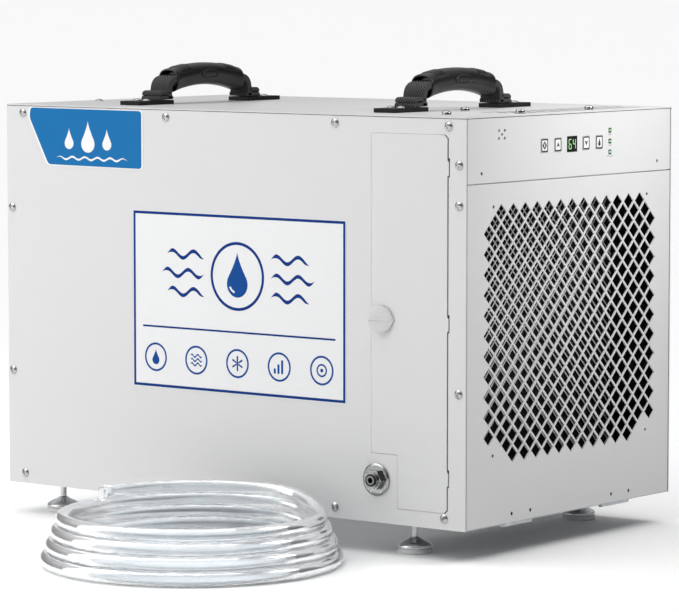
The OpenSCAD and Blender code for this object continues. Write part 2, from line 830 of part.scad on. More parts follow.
// Two screws side by side on each handle plate
function handle_screws() = [for (sx = [-1, 1], sy = [-1, 1], d = [-7, 7])
    [sx * handle_x + d, handle_y + sy * (handle_len / 2 - 22)]];

module screws() {
    color("silver") {
        for (s = front_screws) translate([s[0], -face_y, s[1]]) rotate([90, 0, 0]) pan_screw();
        for (s = back_screws) translate([s[0], face_y, s[1]]) rotate([-90, 0, 0]) pan_screw();
        for (s = top_screws) translate([s[0], s[1], top_z]) pan_screw();
        for (s = handle_screws()) translate([s[0], s[1], top_z + plate_t]) pan_screw();
    }
}

module handle_plates() {
    color("black") difference() {
        for (sx = [-1, 1], sy = [-1, 1]) translate([sx * handle_x, handle_y, top_z])
            mirror([0, sy > 0 ? 0 : 1, 0])
                block([-plate_w / 2, plate_in, 0], [plate_w / 2, handle_len / 2, plate_t]);
        for (s = handle_screws()) translate([s[0], s[1], top_z - 1]) cylinder(h = 10, r = screw_hole_r);
    }
}

// Strap ends between the plates and the grip: a low fold, then a higher one
module handle_straps(side) {
    low = plate_t;
    color("#1a1a1a") for (m = [0, 1])
        translate([side * handle_x, handle_y, top_z]) mirror([0, m, 0])
            rotate([90, 0, 90]) translate([0, 0, -strap_w / 2]) linear_extrude(strap_w)
                polygon([[plate_in, low], [97, low], [95, 15], [91, 16.6], [80, 16.6], [78, 25],
                         [74, 30], [grip_half + 0.4, 34], [grip_half + 0.4, 11], [plate_in, 11]]);
}

// Arched grip: its top and bottom edges are arcs along Y
module handle_grip(side) {
    end_top = 42;
    end_low = 13;
    steps = 12;
    function arc_z(s, mid, end) = mid - (mid - end) * s * s;
    edge = [for (i = [-steps:steps]) i / steps];
    color("#151515") translate([side * handle_x - grip_w / 2, handle_y, top_z])
        rotate([90, 0, 90]) linear_extrude(grip_w)
            polygon(concat(
                [for (s = edge) [s * grip_half, arc_z(s, grip_top, end_top)]],
                [for (i = [len(edge) - 1:-1:0]) [edge[i] * grip_half, arc_z(edge[i], grip_top - grip_t, end_low)]]));
}

// Levelling foot: domed pad with a base ring, and a threaded stud up through the pan
module foot(i) {
    r = foot_pad_d / 2;
    color("silver") translate([foot_pos[i][0], foot_pos[i][1], 0]) {
        cylinder(h = 9, r = r);
        translate([0, 0, 9]) cylinder(h = 4.5, r1 = r, r2 = r - 6);
        translate([0, 0, 13.5]) cylinder(h = 4, r1 = r - 6, r2 = 5.5);
        translate([0, 0, 17.5]) cylinder(h = foot_h - 7.5, r = foot_stud_d / 2);
    }
}

module foot_nuts() {
    hex_r = 13 / 2 / cos(30);
    color("silver") for (p = foot_pos) translate([p[0], p[1], 0]) difference() {
        union() {
            translate([0, 0, base_z - 6.5]) cylinder(h = 6.5, r = hex_r, $fn = 6);
            translate([0, 0, base_z + sheet_t]) cylinder(h = 7, r = hex_r, $fn = 6);
        }
        translate([0, 0, base_z - 10]) cylinder(h = 30, r = foot_stud_d / 2 + running_gap);
    }
}

module front_label() {
    color("aliceblue") xz_plate(-face_y - label_t, label_t)
        patch([label_x[0], label_z[0]], [label_x[1], label_z[1]]);
}

module corner_badge() {
    color("#2378be") xz_plate(-face_y - label_t, label_t)
        polygon([[-308.3, top_z - 17.3], [-306.7, top_z - 5.2], [-131.2, top_z - 5.6],
                 [-131.2, top_z - 73], [-278, top_z - 72]]);
}

// The coil's outer shape: turns stacked a little inwards as they rise
module drain_hose() {
    r = hose_d / 2;
    layers = floor(hose_turns);
    top_z_hose = layers * hose_rise + hose_d;
    outer = hose_r + r;
    inner = hose_r - hose_step - r;
    end_inner = hose_r - hose_step * hose_turns - r;
    color("lightcyan", 0.5) translate([hose_pos[0], hose_pos[1], 0]) rotate_extrude($fn = 96)
        polygon([[inner, 0], [outer, 0], [outer, r],
                 [outer - layers * hose_step, top_z_hose - r], [outer - layers * hose_step, top_z_hose],
                 [end_inner, top_z_hose], [end_inner, top_z_hose - r]]);
}

base_pan();
front_panel();
back_panel();
top_panel();
grille_panel();
control_fascia();
outlet_panel();
access_door();
hinge_arms();
hinge_brackets();
latch_knob();
latch_cam();
drain_fitting();
drain_collet();
control_board();
display_window();
button(button_ys[0]);  // button_power
button(button_ys[1]);  // button_up
button(button_ys[2]);  // button_down
button(button_ys[3]);  // button_drain
status_leds();
mesh_filter_frame();
mesh_filter_media();
pleated_filter_frame();
pleated_filter_media();
filter_rails();
coil_fins(evaporator_x);  // evaporator_fins
coil_tubes(evaporator_x);  // evaporator_tubes
coil_fins(condenser_x);  // condenser_fins
coil_tubes(condenser_x);  // condenser_tubes
drip_tray();
fan_bulkhead();
fan_rotor();
fan_motor();
motor_bracket();
compressor();
compressor_mounts();
accumulator();
suction_line();
discharge_line();
liquid_line();
condensate_pump();
pump_outlet_tube();
electrical_box();
run_capacitor();
cord_gland();
screws();
handle_plates();
handle_straps(-1);  // left_handle_straps
handle_straps(1);  // right_handle_straps
handle_grip(-1);  // left_handle_grip
handle_grip(1);  // right_handle_grip
foot(0);  // foot_front_left
foot(1);  // foot_front_right
foot(2);  // foot_rear_left
foot(3);  // foot_rear_right
foot_nuts();
front_label();
corner_badge();
drain_hose();
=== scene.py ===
"""Looks for the dehumidifier: a powder-coated cabinet with its grille, access door, strap handles,
levelling feet and coiled clear drain hose. Sizes are in millimetres unless a name says otherwise."""

import math

import bpy
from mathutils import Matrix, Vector


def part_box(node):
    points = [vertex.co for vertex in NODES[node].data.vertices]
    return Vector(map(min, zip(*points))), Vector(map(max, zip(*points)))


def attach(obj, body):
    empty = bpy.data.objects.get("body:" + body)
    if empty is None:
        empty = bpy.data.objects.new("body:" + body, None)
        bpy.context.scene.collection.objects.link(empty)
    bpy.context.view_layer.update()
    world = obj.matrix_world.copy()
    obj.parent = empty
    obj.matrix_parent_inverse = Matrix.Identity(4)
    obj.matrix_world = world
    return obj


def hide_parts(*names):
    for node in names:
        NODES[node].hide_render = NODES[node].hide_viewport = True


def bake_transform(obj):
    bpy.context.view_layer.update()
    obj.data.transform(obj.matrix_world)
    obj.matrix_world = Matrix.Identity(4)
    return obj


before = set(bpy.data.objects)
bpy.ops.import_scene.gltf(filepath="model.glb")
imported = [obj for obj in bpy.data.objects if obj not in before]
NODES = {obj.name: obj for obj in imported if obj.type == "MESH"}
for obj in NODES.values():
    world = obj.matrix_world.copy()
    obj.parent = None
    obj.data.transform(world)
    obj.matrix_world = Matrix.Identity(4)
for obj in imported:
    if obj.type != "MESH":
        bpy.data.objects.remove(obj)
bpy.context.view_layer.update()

MM = 0.001


def corners(node):
    """A node's lowest and highest corner, in millimetres."""
    return [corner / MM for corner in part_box(node)]


# ------------------------------------------------------------------ camera

LENS = 199.9
CAMERA_AT = (2776.1, -3564.1, 662.1)
CAMERA_YAW = math.radians(37.86)
CAMERA_PITCH = math.radians(5.1425)

camera = bpy.data.objects.new("camera", bpy.data.cameras.new("camera"))
camera.data.lens = LENS
camera.data.sensor_width = 36
camera.data.clip_end = 200
camera.location = Vector(CAMERA_AT) * MM
camera.rotation_euler = (math.pi / 2 - CAMERA_PITCH, 0, CAMERA_YAW)
bpy.context.collection.objects.link(camera)
bpy.context.scene.camera = camera


# ------------------------------------------------------------------ mesh helpers

def add_mesh(name, verts, faces, look, smooth=True):
    """A mesh object from vertices in millimetres."""
    mesh = bpy.data.meshes.new(name)
    mesh.from_pydata([Vector(v) * MM for v in verts], [], faces)
    mesh.validate()
    mesh.materials.append(look)
    for polygon in mesh.polygons:
        polygon.use_smooth = smooth
    piece = bpy.data.objects.new(name, mesh)
    bpy.context.collection.objects.link(piece)
    return piece


def dress(piece, body, slot, *replaced):
    """The piece rides on a body and may stand for CAD nodes, which it hides. The slot is not used."""
    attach(piece, body)
    if replaced:
        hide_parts(*replaced)
    return piece


def bevel(piece, width, segments):
    """Rounds a piece's sharp edges."""
    modifier = piece.modifiers.new("bevel", "BEVEL")
    modifier.width = width * MM
    modifier.segments = segments
    modifier.limit_method = "ANGLE"
    modifier.angle_limit = math.radians(30)
    modifier.harden_normals = True
    return piece


def subdivide(piece, levels):
    """Smooths a piece with subdivision."""
    modifier = piece.modifiers.new("smooth", "SUBSURF")
    modifier.levels = modifier.render_levels = levels
    return piece


def rings_to_faces(rows, columns, closed=True, first=0):
    """Quads between rows of points, each row a closed ring unless it is open."""
    faces = []
    for i in range(rows - 1):
        for j in range(columns if closed else columns - 1):
            a, b = i * columns, (i + 1) * columns
            k = (j + 1) % columns
            faces.append(tuple(first + n for n in (a + j, a + k, b + k, b + j)))
    return faces


def on_front(u, v, w):
    """A point on the front, w millimetres out of its face."""
    return (u, -w, v)


def on_back(u, v, w):
    """A point of an outline seen from the back, w millimetres along Y."""
    return (u, w, v)


def on_end(u, v, w):
    """A point on the right end, w millimetres out along X."""
    return (w, u, v)


def upright(u, v, w):
    """A point of an outline in plan, w millimetres up."""
    return (u, v, w)


def prism(outline, place, low, high):
    """Vertices and faces of an outline pushed from low to high; place(u, v, w) gives the point."""
    n = len(outline)
    verts = [place(u, v, low) for u, v in outline] + [place(u, v, high) for u, v in outline]
    faces = [tuple(range(n - 1, -1, -1)), tuple(range(n, 2 * n))]
    faces += [(i, (i + 1) % n, n + (i + 1) % n, n + i) for i in range(n)]
    return verts, faces


def band_prism(outer, inner, place, low, high):
    """The same for a closed band between two outlines with as many points."""
    n = len(outer)
    verts = [place(u, v, w) for w in (low, high) for line in (outer, inner) for u, v in line]
    faces = []
    for i in range(n):
        k = (i + 1) % n
        faces += [(i, n + i, n + k, k), (2 * n + i, 2 * n + k, 3 * n + k, 3 * n + i),
                  (i, k, 2 * n + k, 2 * n + i), (n + i, 3 * n + i, 3 * n + k, n + k)]
    return verts, faces


def joined(name, parts, look, smooth=False):
    """One mesh object from several (vertices, faces) parts."""
    verts, faces = [], []
    for part_verts, part_faces in parts:
        faces += [tuple(len(verts) + n for n in face) for face in part_faces]
        verts += part_verts
    return add_mesh(name, verts, faces, look, smooth)


def lathe(profile, centre, segments=48, axis="z"):
    """Vertices and faces of a profile of (radius, height) turned round an axis through centre."""
    verts = []
    for r, h in profile:
        for i in range(segments):
            a = 2 * math.pi * i / segments
            u, v = r * math.cos(a), r * math.sin(a)
            offset = {"z": (u, v, h), "y": (u, h, -v), "x": (h, u, v)}[axis]
            verts.append(Vector(centre) + Vector(offset))
    faces = rings_to_faces(len(profile), segments)
    return verts, faces


def arc(centre, radius, start, end, steps):
    """Points along an arc, angles in degrees."""
    points = []
    for i in range(steps + 1):
        a = math.radians(start + (end - start) * i / steps)
        points.append((centre[0] + radius * math.cos(a), centre[1] + radius * math.sin(a)))
    return points


def circle(centre, radius, steps):
    """A closed round outline."""
    return arc(centre, radius, 0, 360, steps)[:-1]


def rounded(u0, v0, u1, v1, radius, steps=5):
    """A rectangle's outline with rounded corners."""
    outline = []
    for u, v, start in ((u1, v1, 0), (u0, v1, 90), (u0, v0, 180), (u1, v0, 270)):
        centre = (u - math.copysign(radius, u - (u0 + u1) / 2),
                  v - math.copysign(radius, v - (v0 + v1) / 2))
        outline += arc(centre, radius, start, start + 90, steps)
    return outline


def tube(path, radius, segments=20, inner=None):
    """Vertices and faces of a tube round a path; with an inner radius it is hollow and open-ended."""
    path = [Vector(p) for p in path]
    verts = []
    radii = [radius] if inner is None else [radius, inner]
    for r in radii:
        for i, p in enumerate(path):
            along = (path[min(i + 1, len(path) - 1)] - path[max(i - 1, 0)]).normalized()
            side = along.cross(Vector((0, 0, 1))).normalized()
            up = side.cross(along)
            for j in range(segments):
                a = 2 * math.pi * j / segments
                verts.append(p + (side * math.cos(a) + up * math.sin(a)) * r)
    rows = len(path)
    faces = rings_to_faces(rows, segments)
    last = (rows - 1) * segments
    if inner is None:
        faces += [tuple(range(segments)), tuple(range(last + segments - 1, last - 1, -1))]
    else:
        shift = rows * segments
        faces += [tuple(reversed(f)) for f in rings_to_faces(rows, segments, first=shift)]
        for start, turn in ((0, 1), (last, -1)):
            for j in range(segments):
                k = (j + 1) % segments
                faces.append((start + j, start + shift + j, start + shift + k, start + k)[::turn])
    return verts, faces


# ------------------------------------------------------------------ materials

def new_look(name):
    """An empty material with its shader, node tree and object coordinates."""
    look = bpy.data.materials.new(name)
    look.use_nodes = True
    tree = look.node_tree
    shader = next(n for n in tree.nodes if n.type == "BSDF_PRINCIPLED")
    coordinates = tree.nodes.new("ShaderNodeTexCoord")
    return look, tree, shader, coordinates


def noise(tree, coordinates, size, detail=4.0, kind="ShaderNodeTexNoise"):
    """A noise texture whose features are about size millimetres."""
    node = tree.nodes.new(kind)
    node.inputs["Scale"].default_value = 1 / (size * MM)
    if "Detail" in node.inputs:
        node.inputs["Detail"].default_value = detail
    tree.links.new(coordinates.outputs["Object"], node.inputs["Vector"])
    return node


def spread(tree, value, low, high):
    """Maps a texture value between about 0.3 and 0.7 to the range from low to high."""
    node = tree.nodes.new("ShaderNodeMapRange")
    node.inputs["From Min"].default_value = 0.3
    node.inputs["From Max"].default_value = 0.7
    node.inputs["To Min"].default_value = low
    node.inputs["To Max"].default_value = high
    tree.links.new(value, node.inputs["Value"])
    return node.outputs["Result"]


def bump(tree, shader, height, depth, before=None):
    """Bump of depth millimetres from a height value."""
    node = tree.nodes.new("ShaderNodeBump")
    node.inputs["Strength"].default_value = 1
    node.inputs["Distance"].default_value = depth * MM
    tree.links.new(height, node.inputs["Height"])
    if before is not None:
        tree.links.new(before, node.inputs["Normal"])
    tree.links.new(node.outputs["Normal"], shader.inputs["Normal"])
    return node.outputs["Normal"]


def math_node(tree, operation, *values):
    """A math node whose inputs are numbers or other nodes' outputs."""
    node = tree.nodes.new("ShaderNodeMath")
    node.operation = operation
    for socket, value in zip(node.inputs, values):
        if isinstance(value, bpy.types.NodeSocket):
            tree.links.new(value, socket)
        else:
            socket.default_value = value
    return node.outputs[0]


def two_colours(tree, shader, factor, first, second):
    """The base colour goes from first to second with factor."""
    mix = tree.nodes.new("ShaderNodeMix")
    mix.data_type = "RGBA"
    mix.inputs["A"].default_value = (*first, 1)
    mix.inputs["B"].default_value = (*second, 1)
    tree.links.new(factor, mix.inputs["Factor"])
    tree.links.new(mix.outputs["Result"], shader.inputs["Base Color"])


def finish(name, colour, second, rough, mottle, grain, depth, cells=False, edge=0, specular=0.5,
           **sockets):
    """A surface with mottled colour, uneven roughness and fine bump.
    colour and second are mixed at the mottle size; rough is the roughness range; grain and depth are
    the bump's size and height; edge softens sharp edges; sockets are constants."""
    look, tree, shader, coordinates = new_look(name)
    kind = "ShaderNodeTexVoronoi" if cells else "ShaderNodeTexNoise"
    patches = noise(tree, coordinates, mottle, 3, kind)
    value = patches.outputs[0]
    if cells:
        split = tree.nodes.new("ShaderNodeSeparateColor")
        tree.links.new(patches.outputs["Color"], split.inputs["Color"])
        value = split.outputs["Red"]
    two_colours(tree, shader, spread(tree, value, 0, 1), colour, second)
    wear = noise(tree, coordinates, mottle * 0.4, 6)
    tree.links.new(spread(tree, wear.outputs[0], *rough), shader.inputs["Roughness"])
    soft_edge = None
    if edge:
        round_off = tree.nodes.new("ShaderNodeBevel")
        round_off.samples = 4
        round_off.inputs["Radius"].default_value = edge * MM
        soft_edge = round_off.outputs["Normal"]
    fine = noise(tree, coordinates, grain, 3)
    bump(tree, shader, fine.outputs[0], depth, soft_edge)
    shader.inputs["Specular IOR Level"].default_value = specular
    for socket, constant in sockets.items():
        shader.inputs[socket.replace("_", " ")].default_value = constant
    return look


def grey(level):
    """The same level in all three colours."""
    return (level, level, level)


COAT = finish("powder_coat", grey(0.67), grey(0.665), (0.3, 0.32), 160, 1.6, 0.012, edge=0.5)
STEEL = finish("galvanised_steel", (0.62, 0.64, 0.66), (0.48, 0.50, 0.52), (0.28, 0.46), 12, 0.8, 0.01,
               cells=True, Metallic=1.0)
CHROME = finish("chrome", grey(0.5), grey(0.42), (0.1, 0.2), 3, 0.5, 0.004, edge=0.25, Metallic=1.0)
NICKEL = finish("nickel", (0.33, 0.33, 0.325), (0.31, 0.31, 0.305), (0.15, 0.18), 14, 3, 0.0006, edge=0.3,
                Metallic=1.0)
BLACK = finish("black_plastic", grey(0.004), grey(0.007), (0.34, 0.46), 15, 0.6, 0.012, edge=0.3,
               specular=0.22)
LATCH = finish("latch_plastic", grey(0.68), grey(0.66), (0.28, 0.4), 12, 0.7, 0.012, edge=0.5)
GRIP = finish("grip_plastic", grey(0.003), grey(0.006), (0.27, 0.33), 25, 0.9, 0.02, specular=0.45)
BOARD = finish("circuit_board", (0.01, 0.12, 0.05), (0.015, 0.2, 0.08), (0.3, 0.5), 3, 0.4, 0.02)
GLASS = finish("display_glass", grey(0.002), grey(0.004), (0.16, 0.24), 20, 1.2, 0.002, specular=0.12)
KEYS = finish("key_caps", (0.82, 0.82, 0.81), (0.76, 0.77, 0.77), (0.42, 0.54), 8, 0.5, 0.008, edge=0.4)
PRINT_GREY = finish("key_print", grey(0.025), grey(0.035), (0.45, 0.6), 4, 0.4, 0.004, specular=0.15)
COLLET_RING = finish("collet_ring", grey(0.3), grey(0.22), (0.3, 0.45), 4, 0.4, 0.006)
# Near-black painted shade, laid in the corner grooves, along the top joint and in the gap beside the door.
PAINTED_SHADE = finish("painted_shade_dark", grey(0.03), grey(0.05), (0.5, 0.7), 6, 0.6, 0.02, specular=0.2)
# Light grey painted shade, set behind the seam between grille and fascia.
SEAM = finish("seam_shade", grey(0.6), grey(0.56), (0.5, 0.7), 12, 0.8, 0.02)
RULE_GREY = finish("rule_print", grey(0.2), grey(0.26), (0.45, 0.6), 4, 0.4, 0.004)
LED_DARK = finish("led_body", (0.004, 0.045, 0.008), (0.006, 0.07, 0.012), (0.2, 0.35), 2, 0.4, 0.004,
                  specular=0.2)
LED_LIT = finish("led_lens", (0.4, 0.7, 0.42), (0.5, 0.8, 0.5), (0.15, 0.3), 2, 0.4, 0.004,
                 Emission_Color=(0.5, 1.0, 0.5, 1), Emission_Strength=0.25)
DIGITS = finish("display_digits", (0.3, 0.6, 0.25), (0.36, 0.68, 0.3), (0.3, 0.4), 2, 0.4, 0.002,
                Emission_Color=(0.36, 0.9, 0.3, 1), Emission_Strength=0.3)
FILTER_WHITE = finish("filter_frame", grey(0.78), grey(0.72), (0.4, 0.55), 30, 1.0, 0.02, edge=0.8)
# Black foam of the mesh filter; the same look is also laid as painted shade over the filter's rim, behind
# the intake, behind the small holes and under the vent.
BLACK_FOAM_AND_SHADE = finish("filter_foam", grey(0.002), grey(0.02), (0.85, 1.0), 4, 1.4, 0.9, specular=0.1)
WIRE = finish("mesh_wire", grey(0.9), grey(0.8), (0.3, 0.45), 20, 0.8, 0.02)
PAPER = finish("filter_paper", (0.80, 0.79, 0.76), (0.70, 0.69, 0.66), (0.85, 0.98), 10, 0.5, 0.06)
FINS = finish("coil_fins", (0.66, 0.68, 0.70), (0.5, 0.52, 0.54), (0.3, 0.5), 25, 1.8, 0.2, Metallic=0.9)
COPPER = finish("copper", (0.78, 0.39, 0.22), (0.5, 0.2, 0.1), (0.2, 0.42), 18, 0.8, 0.01, Metallic=1.0)
MOTOR = finish("motor_shell", (0.13, 0.14, 0.15), (0.2, 0.21, 0.22), (0.35, 0.55), 20, 1.2, 0.04, edge=0.8,
               Metallic=0.6)
COMPRESSOR = finish("compressor_paint", grey(0.012), grey(0.03), (0.22, 0.4), 30, 1.8, 0.04, edge=0.8,
                    Coat_Weight=0.3)
RUBBER = finish("mount_rubber", grey(0.02), grey(0.035), (0.7, 0.85), 6, 0.5, 0.03)
TUBE = finish("pump_tube", (0.75, 0.8, 0.82), (0.68, 0.72, 0.75), (0.1, 0.2), 12, 1.0, 0.01,
              Transmission_Weight=0.5)
STUD = finish("foot_steel", grey(0.78), grey(0.68), (0.12, 0.22), 6, 0.6, 0.004, Metallic=1.0)
PAD = finish("foot_pad", grey(0.72), grey(0.66), (0.45, 0.6), 8, 0.6, 0.02)
FILM = finish("label_film", (0.795, 0.8, 0.805), (0.785, 0.79, 0.795), (0.3, 0.4), 80, 2.0, 0.004)
INK = finish("label_ink", (0.002, 0.034, 0.2), (0.003, 0.038, 0.22), (0.34, 0.46), 10, 0.8, 0.004,
             specular=0.08)
BRIGHT_INK = finish("label_bright_ink", (0.003, 0.06, 0.27), (0.004, 0.07, 0.3), (0.34, 0.46), 10, 0.8,
                    0.004, specular=0.08)
BADGE = finish("badge_film", (0.004, 0.15, 0.395), (0.005, 0.155, 0.405), (0.3, 0.38), 60, 2.0, 0.004,
               specular=0.1)
BADGE_WHITE = finish("badge_print", grey(0.86), grey(0.82), (0.3, 0.42), 10, 0.8, 0.004)
VINYL = finish("clear_vinyl", (0.93, 0.96, 0.98), (0.88, 0.92, 0.95), (0.02, 0.07), 30, 6.0, 0.08,
               Transmission_Weight=1.0, IOR=1.42, Alpha=0.8)


WARP_PITCH, WEFT_PITCH = 3.6, 4.4


def webbing(name):
    """Black woven webbing: crossing threads from the piece's own UV map, in millimetres, with a painted
    highlight on the threads' raised crowns.
    """
    look, tree, shader, coordinates = new_look(name)
    split = tree.nodes.new("ShaderNodeSeparateXYZ")
    tree.links.new(coordinates.outputs["UV"], split.inputs["Vector"])

    across, along = (
        math_node(tree, "SINE", math_node(tree, "MULTIPLY", split.outputs[axis], 2 * math.pi / pitch))
        for axis, pitch in (("X", WARP_PITCH), ("Y", WEFT_PITCH)))
    height = math_node(tree, "MULTIPLY_ADD", math_node(tree, "MULTIPLY", across, along), 0.5, 0.5)
    # The raised crowns get a lighter grey than the hollows: a painted highlight.
    two_colours(tree, shader, height, grey(0.001), grey(0.1))
    fibre = noise(tree, coordinates, 0.7, 4)
    tree.links.new(spread(tree, fibre.outputs[0], 0.6, 0.85), shader.inputs["Roughness"])
    first = bump(tree, shader, fibre.outputs[0], 0.1)
    bump(tree, shader, height, 0.6, first)
    shader.inputs["Sheen Weight"].default_value = 0.03
    shader.inputs["Specular IOR Level"].default_value = 0.1
    return look


WEBBING = webbing("webbing")

CAD_LOOKS = {
    COAT: ("front_panel", "back_panel", "top_panel", "grille_panel", "control_fascia", "outlet_panel",
           "access_door"),
    STEEL: ("base_pan", "hinge_arms", "hinge_brackets", "latch_cam", "filter_rails", "drip_tray",
            "fan_bulkhead", "motor_bracket", "electrical_box", "run_capacitor", "foot_nuts"),
    CHROME: ("screws",),
    NICKEL: ("drain_fitting",),
    BLACK: ("drain_collet", "cord_gland", "fan_rotor", "condensate_pump", "handle_plates"),
    LATCH: ("latch_knob",),
    BOARD: ("control_board",),
    GLASS: ("display_window",),
    KEYS: ("button_power", "button_up", "button_down", "button_drain"),
    LED_DARK: ("status_leds",),
    FILTER_WHITE: ("mesh_filter_frame", "pleated_filter_frame"),
    PAPER: ("pleated_filter_media",),
    FINS: ("evaporator_fins", "condenser_fins"),
    COPPER: ("evaporator_tubes", "condenser_tubes", "suction_line", "discharge_line", "liquid_line"),
    MOTOR: ("fan_motor",),
    COMPRESSOR: ("compressor", "accumulator"),
    RUBBER: ("compressor_mounts",),
    TUBE: ("pump_outlet_tube",),
}
for look, names in CAD_LOOKS.items():
    for name in names:
        for material_slot in NODES[name].material_slots:
            material_slot.material = look


# ------------------------------------------------------------------ drain hose

HOSE_D = 16
HOSE_WALL = 2
HOSE_R = 165
HOSE_STEP = 6
HOSE_TURNS = 4.24
HOSE_AT = (97, -383.5)
HOSE_RISE = math.sqrt(HOSE_D ** 2 - HOSE_STEP ** 2)
HOSE_START = math.radians(90.6)
HOSE_CLIMB = 0.16
HOSE_POINTS_PER_TURN = 72


def smooth_step(t):
    """Goes from 0 to 1 with no corner at either end."""
    t = min(max(t, 0), 1)
    return t * t * (3 - 2 * t)


def hose_point(turn):
    """The hose's centre line: each turn lies flat on the one below and climbs at its end."""
    r = HOSE_R - HOSE_STEP * turn
    layer = math.floor(turn)
    climb = smooth_step((turn - layer - 1 + HOSE_CLIMB) / HOSE_CLIMB)
    a = HOSE_START + 2 * math.pi * turn
    return Vector((HOSE_AT[0] + r * math.cos(a), HOSE_AT[1] + r * math.sin(a),
                   HOSE_D / 2 + HOSE_RISE * (layer + climb)))


steps = round(HOSE_TURNS * HOSE_POINTS_PER_TURN)
hose_line = [hose_point(HOSE_TURNS * i / steps) for i in range(steps + 1)]
hose = add_mesh("drain_hose_tube", *tube(hose_line, HOSE_D / 2, 24, HOSE_D / 2 - HOSE_WALL), VINYL)
dress(hose, "drain_hose", "clear_vinyl", "drain_hose")


# ------------------------------------------------------------------ handle grips and straps

GRIP_TOP, GRIP_TOP_END = 49, 42
GRIP_LOW, GRIP_LOW_END = 22, 13
GRIP_W, GRIP_HALF = 32, 63
GRIP_WALL, COLLAR_FLARE = 2.4, 1.8
RIDGES = 7
RIDGE_PITCH = 2.7
RIDGE_START = 34
GRIP_POWER = 0.78


def grip_section(s, shrink, points):
    """The grip's section at s, from -1 to 1 along it: an oval, flared at the two collars."""
    top = GRIP_TOP - (GRIP_TOP - GRIP_TOP_END) * s * s
    low = GRIP_LOW - (GRIP_LOW - GRIP_LOW_END) * s * s
    flare = smooth_step((abs(s) - 0.72) / 0.28)
    half_w = GRIP_W / 2 - COLLAR_FLARE + COLLAR_FLARE * flare - shrink
    half_h = (top - low) / 2 - shrink
    middle = (top + low) / 2
    section = []
    for i in range(points):
        a = 2 * math.pi * i / points
        c, d = math.cos(a), math.sin(a)
        section.append((half_w * math.copysign(abs(c) ** GRIP_POWER, c),
                        middle + half_h * math.copysign(abs(d) ** GRIP_POWER, d)))
    return section


def build_grip(name, x, y, z, body, node):
    """An arched grip with open collars, ridges on top near its ends and an oval on each side."""
    stations = [-0.99, -0.96, -0.86, -0.72, -0.5, -0.25, 0, 0.25, 0.5, 0.72, 0.86, 0.96, 0.99]
    verts, points = [], 28
    mouth = 0.86
    rows = [(-mouth, 3.6), (-0.93, GRIP_WALL), (-0.995, GRIP_WALL), (-1, GRIP_WALL * 0.7), (-1, 0.6)]
    rows += [(s, 0.0) for s in stations]
    rows += [(1, 0.6), (1, GRIP_WALL * 0.7), (0.995, GRIP_WALL), (0.93, GRIP_WALL), (mouth, 3.6)]
    for s, shrink in rows:
        verts += [(x + u, y + s * GRIP_HALF, z + w) for u, w in grip_section(s, shrink, points)]
    faces = rings_to_faces(len(rows), points)
    last = (len(rows) - 1) * points
    faces += [tuple(range(points)), tuple(range(last + points - 1, last - 1, -1))]
    grip = subdivide(add_mesh(name, verts, faces, GRIP), 2)
    dress(grip, body, "handle_plastic", node)
    ridges = []
    for side in (-1, 1):
        for i in range(RIDGES):
            s = side * (RIDGE_START + i * RIDGE_PITCH) / GRIP_HALF
            section = grip_section(s, 0.15, 72)
            arch = [(x + u, y + s * GRIP_HALF, z + w) for u, w in section[4:33]]
            ridges.append(tube(arch, 0.75, 8))
    dress(joined(name + "_ridges", ridges, GRIP, True), body, "handle_plastic")
    ovals = []
    for side in (-1, 1):
        loop = []
        for i in range(48):
            a = 2 * math.pi * i / 48
            s = 15 * math.cos(a) / GRIP_HALF
            sag = (GRIP_TOP - GRIP_TOP_END + GRIP_LOW - GRIP_LOW_END) / 2
            mid = (GRIP_TOP + GRIP_LOW) / 2 - sag * s * s
            rise = 5 * math.sin(a)
            half_w = GRIP_W / 2 - COLLAR_FLARE
            half_h = (GRIP_TOP - GRIP_LOW) / 2
            bulge = (1 - abs(rise / half_h) ** (2 / GRIP_POWER)) ** (GRIP_POWER / 2)
            loop.append((x + side * (half_w * bulge + 0.1), y + s * GRIP_HALF, z + mid + rise))
        ovals.append(tube(loop + loop[:2], 0.8, 8))
    dress(joined(name + "_ovals", ovals, GRIP, True), body, "handle_plastic")


STRAP_W = 29
STRAP_CORNER = 1.1


def strap_band(name, line, thickness, x, y, z, side):
    """A band of webbing: line is its outer face in (distance from the handle's middle, height)."""
    verts, runs = [], []
    half = STRAP_W / 2
    section = rounded(-half, -thickness, half, 0, STRAP_CORNER, 3)
    run = 0.0
    for i, (d, h) in enumerate(line):
        d0, h0 = line[max(i - 1, 0)]
        d1, h1 = line[min(i + 1, len(line) - 1)]
        length = math.hypot(d1 - d0, h1 - h0)
        out = ((h1 - h0) / length, (d0 - d1) / length)
        if i:
            run += math.hypot(d - d0, h - h0)
        for across, deep in section:
            verts.append((x + across, y + side * (d + out[0] * deep), z + h + out[1] * deep))
            runs.append((across, run))
    count = len(section)
    faces = rings_to_faces(len(line), count)
    last = (len(line) - 1) * count
    faces += [tuple(range(count)), tuple(range(last + count - 1, last - 1, -1))]
    if side > 0:
        faces = [face[::-1] for face in faces]
    band = add_mesh(name, verts, faces, WEBBING)
    layer = band.data.uv_layers.new(name="threads")
    for loop in band.data.loops:
        layer.data[loop.index].uv = runs[loop.vertex_index]
    return band


def arc_line(points, steps=4):
    """A smooth line through given points (Catmull-Rom)."""
    line = []
    padded = [points[0]] + points + [points[-1]]
    for i in range(1, len(padded) - 2):
        p0, p1, p2, p3 = padded[i - 1:i + 3]
        for k in range(steps):
            t = k / steps
            line.append(tuple(
                0.5 * (2 * b + (c - a) * t + (2 * a - 5 * b + 4 * c - d) * t * t
                       + (3 * b - a - 3 * c + d) * t ** 3)
                for a, b, c, d in zip(p0, p1, p2, p3)))
    return line + [points[-1]]


